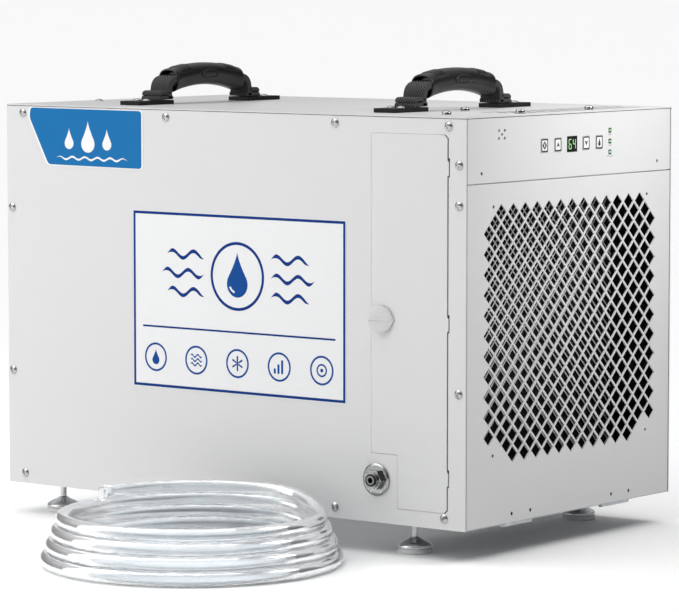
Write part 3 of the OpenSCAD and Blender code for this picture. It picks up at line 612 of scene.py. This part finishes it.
# Outer faces of the webbing, from the plate up into the collar, and the folded tail on the plate
RISER = [(79.6, 6), (80, 12), (79.4, 19), (77.3, 25.5), (73.5, 30), (68, 32.8), (62, 34.3), (55, 35)]
RISER_T = 8
TAIL_LOW = [(96.6, 5.4), (96, 8.6), (93.6, 10.4), (86, 10.6), (80, 10.6), (71, 10.6)]
TAIL_TOP = [(95.2, 11), (94.4, 14.4), (91, 16.4), (86, 16.6), (80.4, 16.6), (76, 16.4)]
TAIL_T = 4.8

for side_name in ("left", "right"):
    grip_node, strap_node = side_name + "_handle_grip", side_name + "_handle_straps"
    body = side_name + "_handle"
    low, high = corners(grip_node)
    middle = (low + high) / 2
    base = corners("handle_plates")[0][2]
    build_grip(side_name + "_grip", middle.x, middle.y, base, body, grip_node)
    for end_name, end in (("front", -1), ("rear", 1)):
        name = f"{side_name}_{end_name}_strap"
        riser = strap_band(name, arc_line(RISER), RISER_T, middle.x, middle.y, base, end)
        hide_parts(strap_node)
        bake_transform(riser)
        for fold, line in (("low_fold", TAIL_LOW), ("top_fold", TAIL_TOP)):
            tail = strap_band(f"{name}_{fold}", arc_line(line), TAIL_T, middle.x, middle.y, base, end)
            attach(tail, "cabinet")


# ------------------------------------------------------------------ levelling feet

THREAD_PITCH = 1.25


def build_foot(node):
    """A lathed foot: pale pad ring, polished dome and threaded stud."""
    low, high = corners(node)
    centre = ((low.x + high.x) / 2, (low.y + high.y) / 2, low.z)
    r = (high.x - low.x) / 2
    pad = [(0, 0), (r - 1.2, 0), (r - 0.3, 0.5), (r - 0.1, 1.4), (r - 0.3, 4.6), (r - 1.4, 5.4), (0, 5.4)]
    dome = [(r - 1.6, 5.2), (r - 0.5, 5.6), (r, 6.4), (r, 8), (r - 0.6, 9.2), (r - 2.4, 10.9),
            (r - 6.5, 13.2), (r - 10.5, 14.8), (7.6, 15.8), (6.4, 16.6), (5.6, 17.4), (4.2, 17.6),
            (0, 17.6)]
    stud = [(0, 17.2)]
    turns = int((high.z - low.z - 18.6) / THREAD_PITCH)
    for i in range(turns):
        z = 17.8 + i * THREAD_PITCH
        stud += [(3.4, z), (3.95, z + THREAD_PITCH * 0.45), (3.95, z + THREAD_PITCH * 0.6)]
    stud += [(3.2, high.z - low.z), (0, high.z - low.z)]
    dress(joined(node + "_stud", [lathe(stud, centre, 28)], STUD, True), node, "foot_metal", node)
    dress(joined(node + "_dome", [lathe(dome, centre, 64)], STUD, True), node, "foot_metal")
    dress(joined(node + "_pad", [lathe(pad, centre, 64)], PAD, True), node, "foot_metal")


for name in ("foot_front_left", "foot_front_right", "foot_rear_left", "foot_rear_right"):
    build_foot(name)


# ------------------------------------------------------------------ mesh filter, its foam and painted shade

def backing(name, parts, look):
    """Painted shade fixed in the cabinet: dark or grey pieces in gaps, grooves, holes and behind openings.
    """
    dress(joined(name, parts, look), "cabinet", "filter_foam")


def clip_line(a, b, low, high):
    """The part of a line from a to b that lies in the box from low to high, or None."""
    t0, t1 = 0.0, 1.0
    for p, q, l, h in ((a[0], b[0], low[0], high[0]), (a[1], b[1], low[1], high[1])):
        if abs(q - p) < 1e-9:
            if not l <= p <= h:
                return None
            continue
        enter, leave = sorted(((l - p) / (q - p), (h - p) / (q - p)))
        t0, t1 = max(t0, enter), min(t1, leave)
    if t1 - t0 < 1e-6:
        return None
    return [tuple(p + (q - p) * t for p, q in zip(a, b)) for t in (t0, t1)]


WIRE_PITCH = (23.3, 22.6)
WIRE_W, WIRE_T = 1.25, 0.7


def build_mesh_media():
    """Black foam behind a white expanded-metal diamond mesh."""
    low, high = corners("mesh_filter_media")
    gap = 0.4
    foam_x = high.x - 0.4
    steps_y, steps_z = 60, 66
    verts = []
    for i in range(steps_z + 1):
        for j in range(steps_y + 1):
            y = low.y + (high.y - low.y) * j / steps_y
            z = low.z + (high.z - low.z) * i / steps_z
            ripple = 0.35 * (math.sin(y * 0.61 + 2.1 * math.sin(z * 0.13))
                             * math.sin(z * 0.53 + 1.3 * math.sin(y * 0.17)))
            verts.append((foam_x - 0.5 + ripple, y, z))
    faces = rings_to_faces(steps_z + 1, steps_y + 1, closed=False)
    foam = add_mesh("filter_foam", verts, faces, BLACK_FOAM_AND_SHADE)
    solid = foam.modifiers.new("thickness", "SOLIDIFY")
    solid.thickness = 4.5 * MM
    solid.offset = -1
    dress(foam, "mesh_filter", "filter_foam", "mesh_filter_media")

    strands = []
    span_y, span_z = WIRE_PITCH
    x0 = foam_x + gap
    for lean in (-1, 1):
        count = int((high.y - low.y) / span_y + (high.z - low.z) / span_z) + 3
        for k in range(-count, count + 1):
            start = (low.y + k * span_y, low.z)
            rise = high.z - low.z
            end = (start[0] + lean * rise * span_y / span_z, high.z)
            cut = clip_line(start, end, (low.y, low.z), (high.y, high.z))
            if cut is None:
                continue
            (y0, z0), (y1, z1) = cut
            length = math.hypot(y1 - y0, z1 - z0)
            if length < 3:
                continue
            n = (-(z1 - z0) / length * WIRE_W / 2, (y1 - y0) / length * WIRE_W / 2)
            outline = [(y0 + n[0], z0 + n[1]), (y0 - n[0], z0 - n[1]),
                       (y1 - n[0], z1 - n[1]), (y1 + n[0], z1 + n[1])]
            layer = x0 + (0.05 if lean > 0 else 0)
            strands.append(prism(outline, on_end, layer, layer + WIRE_T))
    dress(joined("filter_wire", strands, WIRE), "mesh_filter", "filter_frame")


build_mesh_media()


def build_filter_and_intake_shades():
    """A thin band of black foam over the mesh filter's rim, a black block on its far end, and a black
    sheet on the back panel behind the intake: painted shade for the dim inside seen through the grille.
    """
    low, high = corners("mesh_filter_frame")
    inner_low, inner_high = corners("mesh_filter_media")
    outer = rounded(low.y + 1, low.z + 1, high.y - 1, high.z - 1, 1.5)
    inner = rounded(inner_low.y - 0.5, inner_low.z - 0.5, inner_high.y + 0.5, inner_high.z + 0.5, 1.5)
    # The band, the skirt and the block at the far end are painted shade, so the white frame reads dark
    # through the grille.
    rim_dark_band = band_prism(outer, inner, on_end, high.x + 0.05, high.x + 1.0)
    opening = [rounded(inner_low.y - out, inner_low.z - out, inner_high.y + out, inner_high.z + out, 1.5)
               for out in (0.5, -1.0)]
    skirt = band_prism(*opening, on_end, inner_high.x, high.x + 1.0)
    end_dark_block = prism(rounded(low.x + 0.3, low.z + 1.5, high.x + 0.8, high.z - 1.5, 0.3),
                     on_back, high.y - 0.2, high.y + 7.5)
    dress(joined("filter_rim_shade", [rim_dark_band, skirt, end_dark_block], BLACK_FOAM_AND_SHADE), "mesh_filter", "filter_foam")
    panel_high = corners("back_panel")[1]
    face = panel_high.y - 1.6
    # A black sheet on the inside of the back panel behind the intake: painted shade for the dim inside
    # seen through the grille.
    intake_dark_sheet = prism(rounded(high.x + 1.4, low.z, panel_high.x - 20, high.z, 3), on_back, face - 5, face)
    backing("intake_shade", [intake_dark_sheet], BLACK_FOAM_AND_SHADE)


build_filter_and_intake_shades()


# ------------------------------------------------------------------ printed films

PRINT_T = 0.06
DROP_TURN = 28


def print_on(name, parts, look, body, slot, base, layer, place):
    """Printed shapes: closed outlines, or pairs of outlines for bands, a hair above their base."""
    low = base + PRINT_T * (layer - 0.5)
    solids = [band_prism(*part, place, low, base + PRINT_T * layer) if isinstance(part[0], list)
              else prism(part, place, low, base + PRINT_T * layer) for part in parts]
    return dress(joined(name, solids, look), body, slot)


def ring(centre, outer, inner, steps=64):
    """The two outlines of a round band."""
    return [circle(centre, outer, steps), circle(centre, inner, steps)]


def drop(centre, r, height):
    """A water drop: a round bottom whose sides run up to a point."""
    u, v = centre
    bottom = arc((u, v), r, 180 - DROP_TURN, 360 + DROP_TURN, 28)
    start_u, start_v = r * math.cos(math.radians(DROP_TURN)), r * math.sin(math.radians(DROP_TURN))
    right = [(u + start_u * (1 - t) ** 1.35, v + start_v + (height - start_v) * t)
             for t in (0.15, 0.3, 0.45, 0.6, 0.75, 0.9)]
    return bottom + right + [(u, v + height)] + [(2 * u - a, b) for a, b in reversed(right)]


def wave_band(u0, u1, v, swing, length, width, steps=60):
    """A wavy stripe with tapered ends."""
    upper, lower = [], []
    for i in range(steps + 1):
        t = i / steps
        u = u0 + (u1 - u0) * t
        mid = v + swing * math.sin(2 * math.pi * (u - u0) / length)
        half = width / 2 * min(1, 8 * t, 8 * (1 - t)) + 0.05
        upper.append((u, mid + half))
        lower.append((u, mid - half))
    return lower + upper[::-1]


LABEL_GROW = Vector((1.5, 0, 3.5))
BADGE_GROW = Vector((5, 0, 2.5))
FILM_T = 0.4
WAVE_ROWS = (-22, 0, 22)
ICON_COUNT, ICON_MARGIN = 5, 34


def spoke(u, v, a):
    """One tapered arm of the snowflake round (u, v), at angle a."""
    c, s = math.cos(a), math.sin(a)
    return [(u + reach * c + half * s, v + reach * s - half * c)
            for reach, half in ((8.6, 1.1), (8.6, -1.1), (1.6, -0.9), (1.6, 0.9))]


def build_label():
    """The central label: a framed film with an emblem between airflow waves, and a row of icons."""
    low, high = corners("front_label")
    high += LABEL_GROW
    base = -low.y
    film = rounded(low.x, low.z, high.x, high.z, 2.5)
    piece = joined("label_film", [prism(film, on_front, base - FILM_T, base)], FILM)
    dress(piece, "cabinet", "label_film", "front_label")
    edge, width = 0.8, 3.2
    x0, z0, x1, z1 = low.x + edge, low.z + edge, high.x - edge, high.z - edge
    border = [rounded(x0, z0, x1, z1, 0.6), rounded(x0 + width, z0 + width, x1 - width, z1 - width, 0.3)]
    centre_x = (x0 + x1) / 2
    rule_z = z0 + (z1 - z0) * 0.34
    rule = rounded(x0 + 14, rule_z, x1 - 14, rule_z + 2.2, 1)
    emblem = (centre_x, rule_z + 66)
    dark = [border, rule, ring(emblem, 40, 36.5)]
    for i, v in enumerate(WAVE_ROWS):
        for side in (-1, 1):
            reach = 64 - 8 * abs(i - 1)
            u0 = emblem[0] + side * 50
            ends = sorted((u0, u0 + side * reach))
            dark.append(wave_band(*ends, emblem[1] + v, 4.2, 32, 4.4))
    print_on("label_print_dark", dark, INK, "cabinet", "label_film", base, 1, on_front)
    bright = [drop((emblem[0], emblem[1] - 9), 15.5, 37)]
    icon_z = z0 + (rule_z - z0) * 0.5
    for i in range(ICON_COUNT):
        u = x0 + ICON_MARGIN + i * (x1 - x0 - 2 * ICON_MARGIN) / (ICON_COUNT - 1)
        bright.append(ring((u, icon_z), 17, 14.6, 48))
        if i == 0:
            bright.append(drop((u, icon_z - 3.4), 5.4, 13))
        elif i == 1:
            bright += [wave_band(u - 9, u + 9, icon_z + d, 1.6, 9, 2, 24) for d in (-5, 0, 5)]
        elif i == 2:
            bright += [rounded(u - 1.1, icon_z - 9, u + 1.1, icon_z + 9, 1)]
            bright += [spoke(u, icon_z, math.radians(angle)) for angle in (30, 150, 210, 330)]
        elif i == 3:
            bright += [rounded(u - 8 + 5.4 * k, icon_z - 8, u - 5 + 5.4 * k, icon_z - 2 + 5 * k, 0.8)
                       for k in range(3)]
        else:
            bright += [ring((u, icon_z), 7.6, 5.6, 32), circle((u, icon_z), 2.2, 20)]
    print_on("label_print_bright", bright, BRIGHT_INK, "cabinet", "label_film", base, 1, on_front)
    glint = [(arc((emblem[0] - 1.5, emblem[1] - 9), 11, 200, 255, 12)
              + arc((emblem[0] - 1.5, emblem[1] - 9), 8.6, 255, 200, 12))]
    print_on("label_print_glint", glint, FILM, "cabinet", "label_film", base, 2, on_front)


def soften(points, radius, steps=6):
    """An outline with its corners rounded."""
    outline = []
    n = len(points)
    for i in range(n):
        p = Vector(points[i])
        before, after = Vector(points[i - 1]) - p, Vector(points[(i + 1) % n]) - p
        a, b = p + before.normalized() * radius, p + after.normalized() * radius
        for k in range(steps + 1):
            t = k / steps
            q = a * (1 - t) ** 2 + p * 2 * t * (1 - t) + b * t * t
            outline.append((q.x, q.y))
    return outline


def build_badge():
    """The corner badge: a blue field with a pale rim, three drops and a ripple."""
    low, high = corners("corner_badge")
    high += BADGE_GROW
    base = -low.y
    corner = [(low.x, high.z - 12.1), (low.x + 1.6, high.z), (high.x, high.z - 0.4), (high.x, low.z),
              (low.x + 30.3, low.z + 1)]
    middle = Vector((sum(p[0] for p in corner[1:]) / 4, sum(p[1] for p in corner[1:]) / 4))

    def inset(d):
        return [tuple(Vector(p) + (middle - Vector(p)).normalized() * d) for p in corner]

    piece = joined("badge_film", [prism(soften(corner, 5), on_front, base - FILM_T, base)], BADGE_WHITE)
    dress(piece, "cabinet", "badge_film", "corner_badge")
    print_on("badge_field", [soften(inset(2.4), 4.5)], BADGE, "cabinet", "badge_film", base, 1, on_front)
    z = (low.z + high.z) / 2 - 7
    drops = [drop((low.x + 66 + i * 30, z), r, h) for i, r, h in ((0, 7, 18), (1, 10.5, 27), (2, 7, 18))]
    drops.append(wave_band(low.x + 46, high.x - 24, low.z + 10.5, 1.7, 20, 2.2))
    print_on("badge_drops", drops, BADGE_WHITE, "cabinet", "badge_film", base, 2, on_front)


build_label()
build_badge()


# ------------------------------------------------------------------ keys, display and status lights

KEY_SHOULDER, OUTLINE_W = 1.5, 1.6
SEGMENT_W, DIGIT_W, DIGIT_H = 1.1, 5.8, 11.6
SEGMENTS = {"6": "acdefg", "4": "bcfg"}


def build_key(name, shapes):
    """A key's printed frame and its glyph, whose outlines are centred on the key."""
    low, high = corners(name)
    y, z = (low.y + high.y) / 2, (low.z + high.z) / 2
    half_y, half_z = (high.y - low.y) / 2 - KEY_SHOULDER, (high.z - low.z) / 2 - KEY_SHOULDER
    frame_parts = [[rounded(y - half_y + 0.1, z - half_z + 0.1, y + half_y - 0.1, z + half_z - 0.1, 1.2),
                    rounded(y - half_y + OUTLINE_W, z - half_z + OUTLINE_W,
                            y + half_y - OUTLINE_W, z + half_z - OUTLINE_W, 1)]]
    print_on(name + "_outline", frame_parts, PRINT_GREY, name, "button_keys", high.x, 1, on_end)
    placed = []
    for shape in shapes:
        if isinstance(shape[0], list):
            placed.append([[(y + u, z + v) for u, v in line] for line in shape])
        else:
            placed.append([(y + u, z + v) for u, v in shape])
    print_on(name + "_glyph", placed, PRINT_GREY, name, "button_keys", high.x, 1, on_end)


def diamond(half_u, half_v):
    """A diamond outline centred on the origin."""
    return [(half_u, 0), (0, half_v), (-half_u, 0), (0, -half_v)]


build_key("button_power", [[diamond(4.4, 4.9), diamond(1.3, 2.9)]])
build_key("button_up", [[(-3.1, -2.7), (0, 3.1), (3.1, -2.7), (0, -1.3)]])
build_key("button_down", [[(-3.1, 2.7), (0, 1.3), (3.1, 2.7), (0, -3.1)]])
build_key("button_drain", [drop((0, -2), 2.5, 7)])


def build_display():
    """Two seven-segment digits on the display window."""
    low, high = corners("display_window")
    middle_y, middle_z = (low.y + high.y) / 2, (low.z + high.z) / 2
    w, h, t = DIGIT_W / 2, DIGIT_H / 2, SEGMENT_W / 2
    bars = {"a": (0, h - t, True), "g": (0, 0, True), "d": (0, t - h, True),
            "b": (w - t, h / 2, False), "c": (w - t, -h / 2, False),
            "f": (t - w, h / 2, False), "e": (t - w, -h / 2, False)}
    parts = []
    for digit, offset in (("6", -4.2), ("4", 4.2)):
        for letter in SEGMENTS[digit]:
            u, v, flat = bars[letter]
            long, short = (w - t - 0.2, t) if flat else (t, h / 2 - t * 0.6)
            if flat:
                outline = [(-long, 0), (-long + t, short), (long - t, short), (long, 0),
                           (long - t, -short), (-long + t, -short)]
            else:
                outline = [(0, -short), (long, -short + t), (long, short - t), (0, short),
                           (-long, short - t), (-long, -short + t)]
            parts.append([(middle_y + offset + u + a, middle_z + v + b) for a, b in outline])
    print_on("display_digits", parts, DIGITS, "cabinet", "display", high.x, 1, on_end)


build_display()


def build_status_lenses():
    """Domed lenses on the three status lamps, with a plain rule under each."""
    low, high = corners("status_leds")
    y = (low.y + high.y) / 2
    size = high.y - low.y
    frame_face = corners("control_fascia")[1].x
    levels = (low.z + size / 2, (low.z + high.z) / 2, high.z - size / 2)
    lenses = []
    for z in levels:
        dome = [(1.35, -0.2), (1.3, 0.1), (1.0, 0.4), (0.5, 0.58), (0.05, 0.62)]
        verts, faces = lathe(dome, (high.x, y, z), 20, "x")
        faces.append(tuple(range(4 * 20, 5 * 20)))
        lenses.append((verts, faces))
    dress(joined("status_lenses", lenses, LED_LIT, True), "cabinet", "led_lens")
    rules = [rounded(y - half, z - size / 2 - 2.4, y + half, z - size / 2 - 1.7, 0.3)
             for z, half in zip(reversed(levels), (3.6, 3.4, 6.4))]
    print_on("status_rules", rules, RULE_GREY, "cabinet", "button_keys", frame_face, 1, on_end)


build_status_lenses()


# ------------------------------------------------------------------ latch knob and drain collet

KNOB_ROUND, KNOB_TIP = 15, 2.2
KNOB_BACK_U, KNOB_TIP_U = 0, 14.6
KNOB_LOW = 2.2
RIB_H, RIB_HALF = 1.1, 1.5


def teardrop(scale):
    """The knob's outline, round at the back and narrow at its tip."""
    lean = math.degrees(math.acos((KNOB_ROUND - KNOB_TIP) / (KNOB_TIP_U - KNOB_BACK_U)))
    outline = (arc((KNOB_TIP_U, 0), KNOB_TIP, -lean, lean, 8)
               + arc((KNOB_BACK_U, 0), KNOB_ROUND, lean, 360 - lean, 40))
    return [(u * scale, v * scale) for u, v in outline]


def build_knob():
    """A drop-shaped turn knob: a wedge, high at its round back and low at its tip, with a rib along it."""
    low, high = corners("latch_knob")
    u0, v0 = (low.x + high.x) / 2, (low.z + high.z) / 2
    face = -corners("access_door")[0].y
    back = -low.y - face - RIB_H

    def lift(u):
        t = (u + KNOB_ROUND) / (KNOB_ROUND + KNOB_TIP_U + KNOB_TIP)
        return back + (KNOB_LOW - back) * t

    verts = [on_front(u0 + u, v0 + v, face + 0.3) for u, v in teardrop(1)]
    for scale, drop_by in ((1, 0.9), (0.985, 0.35), (0.95, 0), (0.6, 0), (0.2, 0)):
        verts += [on_front(u0 + u, v0 + v, face + lift(u) - drop_by) for u, v in teardrop(scale)]
    count = len(teardrop(1))
    faces = rings_to_faces(6, count)
    faces += [tuple(range(count - 1, -1, -1)), tuple(range(5 * count, 6 * count))]
    knob = add_mesh("turn_knob", verts, faces, LATCH)
    ends = ((2 - KNOB_ROUND, RIB_HALF), (KNOB_TIP_U, RIB_HALF * 0.6))
    verts = [on_front(u0 + u, v0 + side * half, face + lift(u) + rise)
             for rise in (-0.6, RIB_H) for u, half in ends for side in (-1, 1)]
    rib = bevel(add_mesh("knob_rib", verts, [(0, 1, 3, 2), (4, 6, 7, 5), (0, 2, 6, 4), (1, 5, 7, 3),
                                             (0, 4, 5, 1), (2, 3, 7, 6)], LATCH), 0.6, 3)
    post = [(0.1, -3.2), (3.9, -3.2), (3.9, 0.4), (0.1, 0.4)]
    spindle_verts, spindle_faces = lathe(post, (u0, 0, v0), 32, "y")
    spindle = [(x, -face - y, z) for x, y, z in spindle_verts], spindle_faces
    dress(knob, "latch", "latch_plastic", "latch_knob")
    dress(rib, "latch", "latch_plastic")
    dress(joined("knob_spindle", [spindle], LATCH, True), "latch", "latch_plastic")


def build_collet_ring():
    """The pale release ring in the mouth of the push-in collet."""
    low, high = corners("drain_collet")
    centre = ((low.x + high.x) / 2, (low.z + high.z) / 2)
    ring_face = band_prism(*ring(centre, 5.2, 3.5, 40), on_front, -low.y - 0.6, -low.y + 0.25)
    dress(joined("collet_ring", [ring_face], COLLET_RING), "cabinet", "black_plastic")


build_knob()
build_collet_ring()


# ------------------------------------------------------------------ seams, door lips, painted shade and lid screw heads

SHEET = 1.5
DOOR_GAP = 0.4
SENSOR_HOLES = [(-144.8, 480.6), (-133.9, 480.6), (-139.1, 476.2), (-144.8, 471.9), (-133.9, 471.9)]
PANEL_HOLES = [(-177.7, 434), (176.5, 434), (-155, 117), (155, 117), (-155, 396), (155, 396)]
LOW_HOLES = [(-117.5, 47.8), (-81, 47.8), (83.7, 47.8), (120.3, 47.8)]
# Radii of the painted shade discs in the holes.
HOLE_DARK_R, LOW_HOLE_DARK_R = 3.6, 2.25
NOTCH = (249, 116)
ARM_LEVELS, ARM_T = (120, 411), 4
DOOR_EDGE, SHADE_RUN = 317.3, 8.5
LID_SCREWS = [(284, -163), (233, -58), (316, -66), (319, 68)]


def box(u0, v0, u1, v1, place, low, high):
    """A block from low to high over a rectangle."""
    return prism([(u0, v0), (u1, v0), (u1, v1), (u0, v1)], place, low, high)


def build_seams():
    """Painted shade in the cabinet: dark strips in the corner grooves and along the top joint, a grey
    strip behind the seam, black discs behind the small holes and a black sheet under the vent.
    """
    grille_low, grille_high = corners("grille_panel")
    strip_low, strip_high = corners("control_fascia")
    side = strip_high.x
    front = corners("front_panel")[1].y
    # Dark strips in the four corner grooves: painted shade that draws each groove's shadow line.
    groove_dark_strips = []
    for x in (-1, 1):
        for y in (-1, 1):
            groove = [(side - 1.7, front + 0.05), (side - 0.2, front + 0.05), (side - 0.2, front + 1.0),
                      (side - 0.8, front + 1.0)]
            outline = [(x * u, -y * v) for u, v in groove]
            groove_dark_strips.append(prism(outline[::x * -y], upright, grille_low.z + 1, strip_high.z - 0.5))
    backing("corner_groove_shade", groove_dark_strips, PAINTED_SHADE)
    # A grey strip behind the seam's gap: painted shade that sets how dark the seam line looks.
    strip = box(strip_low.y + 5, grille_high.z - 1.5, strip_high.y - 5, strip_low.z + 1.5, on_end,
                side - SHEET - 0.9, side - SHEET - 0.15)
    backing("seam_strip", [strip], SEAM)
    face = corners("front_panel")[0].y
    # A dark band round the top edge where the lid laps the walls: painted shade of the joint.
    edge = [rounded(-side - out, face - out, side + out, -face + out, 0.3) for out in (0.15, -0.6)]
    joint = band_prism(*edge, upright, strip_high.z - 0.5, strip_high.z + 0.05)
    backing("top_joint_shade", [joint], PAINTED_SHADE)
    # Black discs behind and in the small holes of the end: painted shade, so the holes read dark.
    hole_dark_discs = [prism(circle(hole, HOLE_DARK_R, 24), on_end, side - SHEET - 0.9, side - SHEET - 0.1)
             for hole in SENSOR_HOLES + PANEL_HOLES]
    hole_dark_discs += [prism(circle(hole, LOW_HOLE_DARK_R, 24), on_end, side - SHEET - 0.1, side - 0.8)
              for hole in LOW_HOLES]
    backing("hole_shade_discs", hole_dark_discs, BLACK_FOAM_AND_SHADE)
    top = corners("top_panel")[1].z - SHEET
    # A black sheet under the lid's vent slots: painted shade, so the slots read dark.
    vent_dark_sheet = prism(rounded(283, -100, 326, 184, 3), upright, top - 3, top - 0.2)
    backing("vent_shade", [vent_dark_sheet], BLACK_FOAM_AND_SHADE)


def build_door_lips_and_shades():
    """A pale lip at the door's left edge, its top and the fitting's corner; dark painted shade in the gap
    at its right.
    """
    low, high = corners("access_door")
    notch_x, notch_z = NOTCH
    lips = [box(*corner_values, on_front, -low.y - 1.3, -low.y - 0.1) for corner_values in (
        (low.x - DOOR_GAP + 0.02, notch_z - DOOR_GAP, low.x - 0.04, high.z),
        (low.x - DOOR_GAP, high.z + 0.04, DOOR_EDGE - SHADE_RUN, high.z + DOOR_GAP - 0.02),
        (notch_x - DOOR_GAP + 0.02, low.z, notch_x - 0.04, notch_z - DOOR_GAP))]
    dress(joined("door_lips", lips, COAT), "cabinet", "front_coat")
    jamb, depth = low.y + SHEET + 0.15, low.y + SHEET + 0.9
    spans = zip([low.z - 0.8] + [z + ARM_T + 1.5 for z in ARM_LEVELS],
                [z - 1.5 for z in ARM_LEVELS] + [high.z + 1])
    # Dark strips in the gap by the door's right edge: painted shade.
    shades = [box(DOOR_EDGE, v0, DOOR_EDGE + 5.5, v1, on_front, -depth, -jamb) for v0, v1 in spans]
    shades += [box(DOOR_EDGE - SHADE_RUN, v0, DOOR_EDGE, v1, on_front, -depth, -jamb)
               for v0, v1 in ((low.z - 0.8, low.z + 3), (high.z - 3, high.z + 1))]
    backing("door_shades", shades, PAINTED_SHADE)


def build_top_heads():
    """The tall pan heads of the lid's right-hand screws."""
    base = corners("top_panel")[1].z
    profile = [(0.1, -0.3), (5.2, -0.3), (5.3, 0.2), (5.3, 2.8), (5.0, 3.6), (4.2, 4.3), (2.4, 4.8),
               (0.1, 4.9)]
    heads = [lathe(profile, (x, y, base), 32) for x, y in LID_SCREWS]
    dress(joined("lid_screw_heads", heads, CHROME, True), "cabinet", "zinc_steel")


build_seams()
build_door_lips_and_shades()
build_top_heads()


# ------------------------------------------------------------------ floor and light

floor_look = finish("studio_floor", grey(0.99), grey(0.985), (0.7, 0.8), 900, 40, 0.01)
FLOOR_HALF = 60000
floor = add_mesh("studio_floor", [(-FLOOR_HALF, -FLOOR_HALF, 0), (FLOOR_HALF, -FLOOR_HALF, 0),
                                  (FLOOR_HALF, FLOOR_HALF, 0), (-FLOOR_HALF, FLOOR_HALF, 0)],
                 [(0, 1, 2, 3)], floor_look)


def light_object(lamp, at, turn):
    """A light at a place, aimed by a rotation."""
    light = bpy.data.objects.new(lamp.name, lamp)
    light.location = at
    light.rotation_euler = turn.to_euler()
    bpy.context.collection.objects.link(light)


def area_light(name, at, target, size, power, spread=180):
    """A square softbox: place, aim and size in metres, power in watts, spread in degrees."""
    lamp = bpy.data.lights.new(name, "AREA")
    lamp.size = size
    lamp.energy = power
    lamp.spread = math.radians(spread)
    light_object(lamp, at, (Vector(target) - Vector(at)).to_track_quat("-Z", "Y"))


area_light("key_box", (-1.2, -1.5, 0.9), (-0.36, -0.25, 0.4), 1.8, 10.8)
area_light("end_box", (0.72, 0.16, 0.84), (0.343, 0.06, 0.48), 0.4, 0.9, 80)
area_light("under_fill", (0.04, -0.02, 0.034), (0.04, -0.02, 0), 0.32, 0.05)
area_light("under_fill_left", (-0.2, -0.02, 0.034), (-0.2, -0.02, 0), 0.3, 0.03)

sun = bpy.data.lights.new("sky_sun", "SUN")
sun.energy = 1.95
sun.angle = math.radians(75)
light_object(sun, (0, 0, 0), Vector((-0.2, -0.24, 0.93)).to_track_quat("Z", "Y"))

# The studio's walls are darker than its ceiling, most of all on the right; the camera sees plain white
WALL_LIGHT, CEILING_LIGHT, SEEN_LIGHT = 0.25, 0.6, 1.0
RIGHT_SIDE_SHARE = 0.15
world = bpy.data.worlds.new("studio")
bpy.context.scene.world = world
world.use_nodes = True
nodes, links = world.node_tree.nodes, world.node_tree.links
background = next(n for n in nodes if n.type == "BACKGROUND")
output = next(n for n in nodes if n.type == "OUTPUT_WORLD")
direction = nodes.new("ShaderNodeTexCoord")
split = nodes.new("ShaderNodeSeparateXYZ")
links.new(direction.outputs["Generated"], split.inputs[0])


def ramp(axis, start, end, low, high):
    """A smooth change of light from low to high as a direction's axis value goes from start to end."""
    node = nodes.new("ShaderNodeMapRange")
    node.interpolation_type = "SMOOTHSTEP"
    for socket, value in (("From Min", start), ("From Max", end), ("To Min", low), ("To Max", high)):
        node.inputs[socket].default_value = value
    links.new(split.outputs[axis], node.inputs["Value"])
    return node.outputs["Result"]


sky = math_node(world.node_tree, "MULTIPLY", ramp("Z", 0.12, 0.62, WALL_LIGHT, CEILING_LIGHT),
                ramp("X", -0.1, 0.8, 1.0, RIGHT_SIDE_SHARE))
links.new(sky, background.inputs["Strength"])
background.inputs["Color"].default_value = (1, 1, 1, 1)
seen = nodes.new("ShaderNodeBackground")
seen.inputs["Strength"].default_value = SEEN_LIGHT
seen.inputs["Color"].default_value = (1, 1, 1, 1)
rays = nodes.new("ShaderNodeLightPath")
blend_world = nodes.new("ShaderNodeMixShader")
links.new(rays.outputs["Is Camera Ray"], blend_world.inputs["Fac"])
links.new(background.outputs[0], blend_world.inputs[1])
links.new(seen.outputs[0], blend_world.inputs[2])
links.new(blend_world.outputs[0], output.inputs["Surface"])
bpy.context.scene.view_settings.view_transform = "Standard"
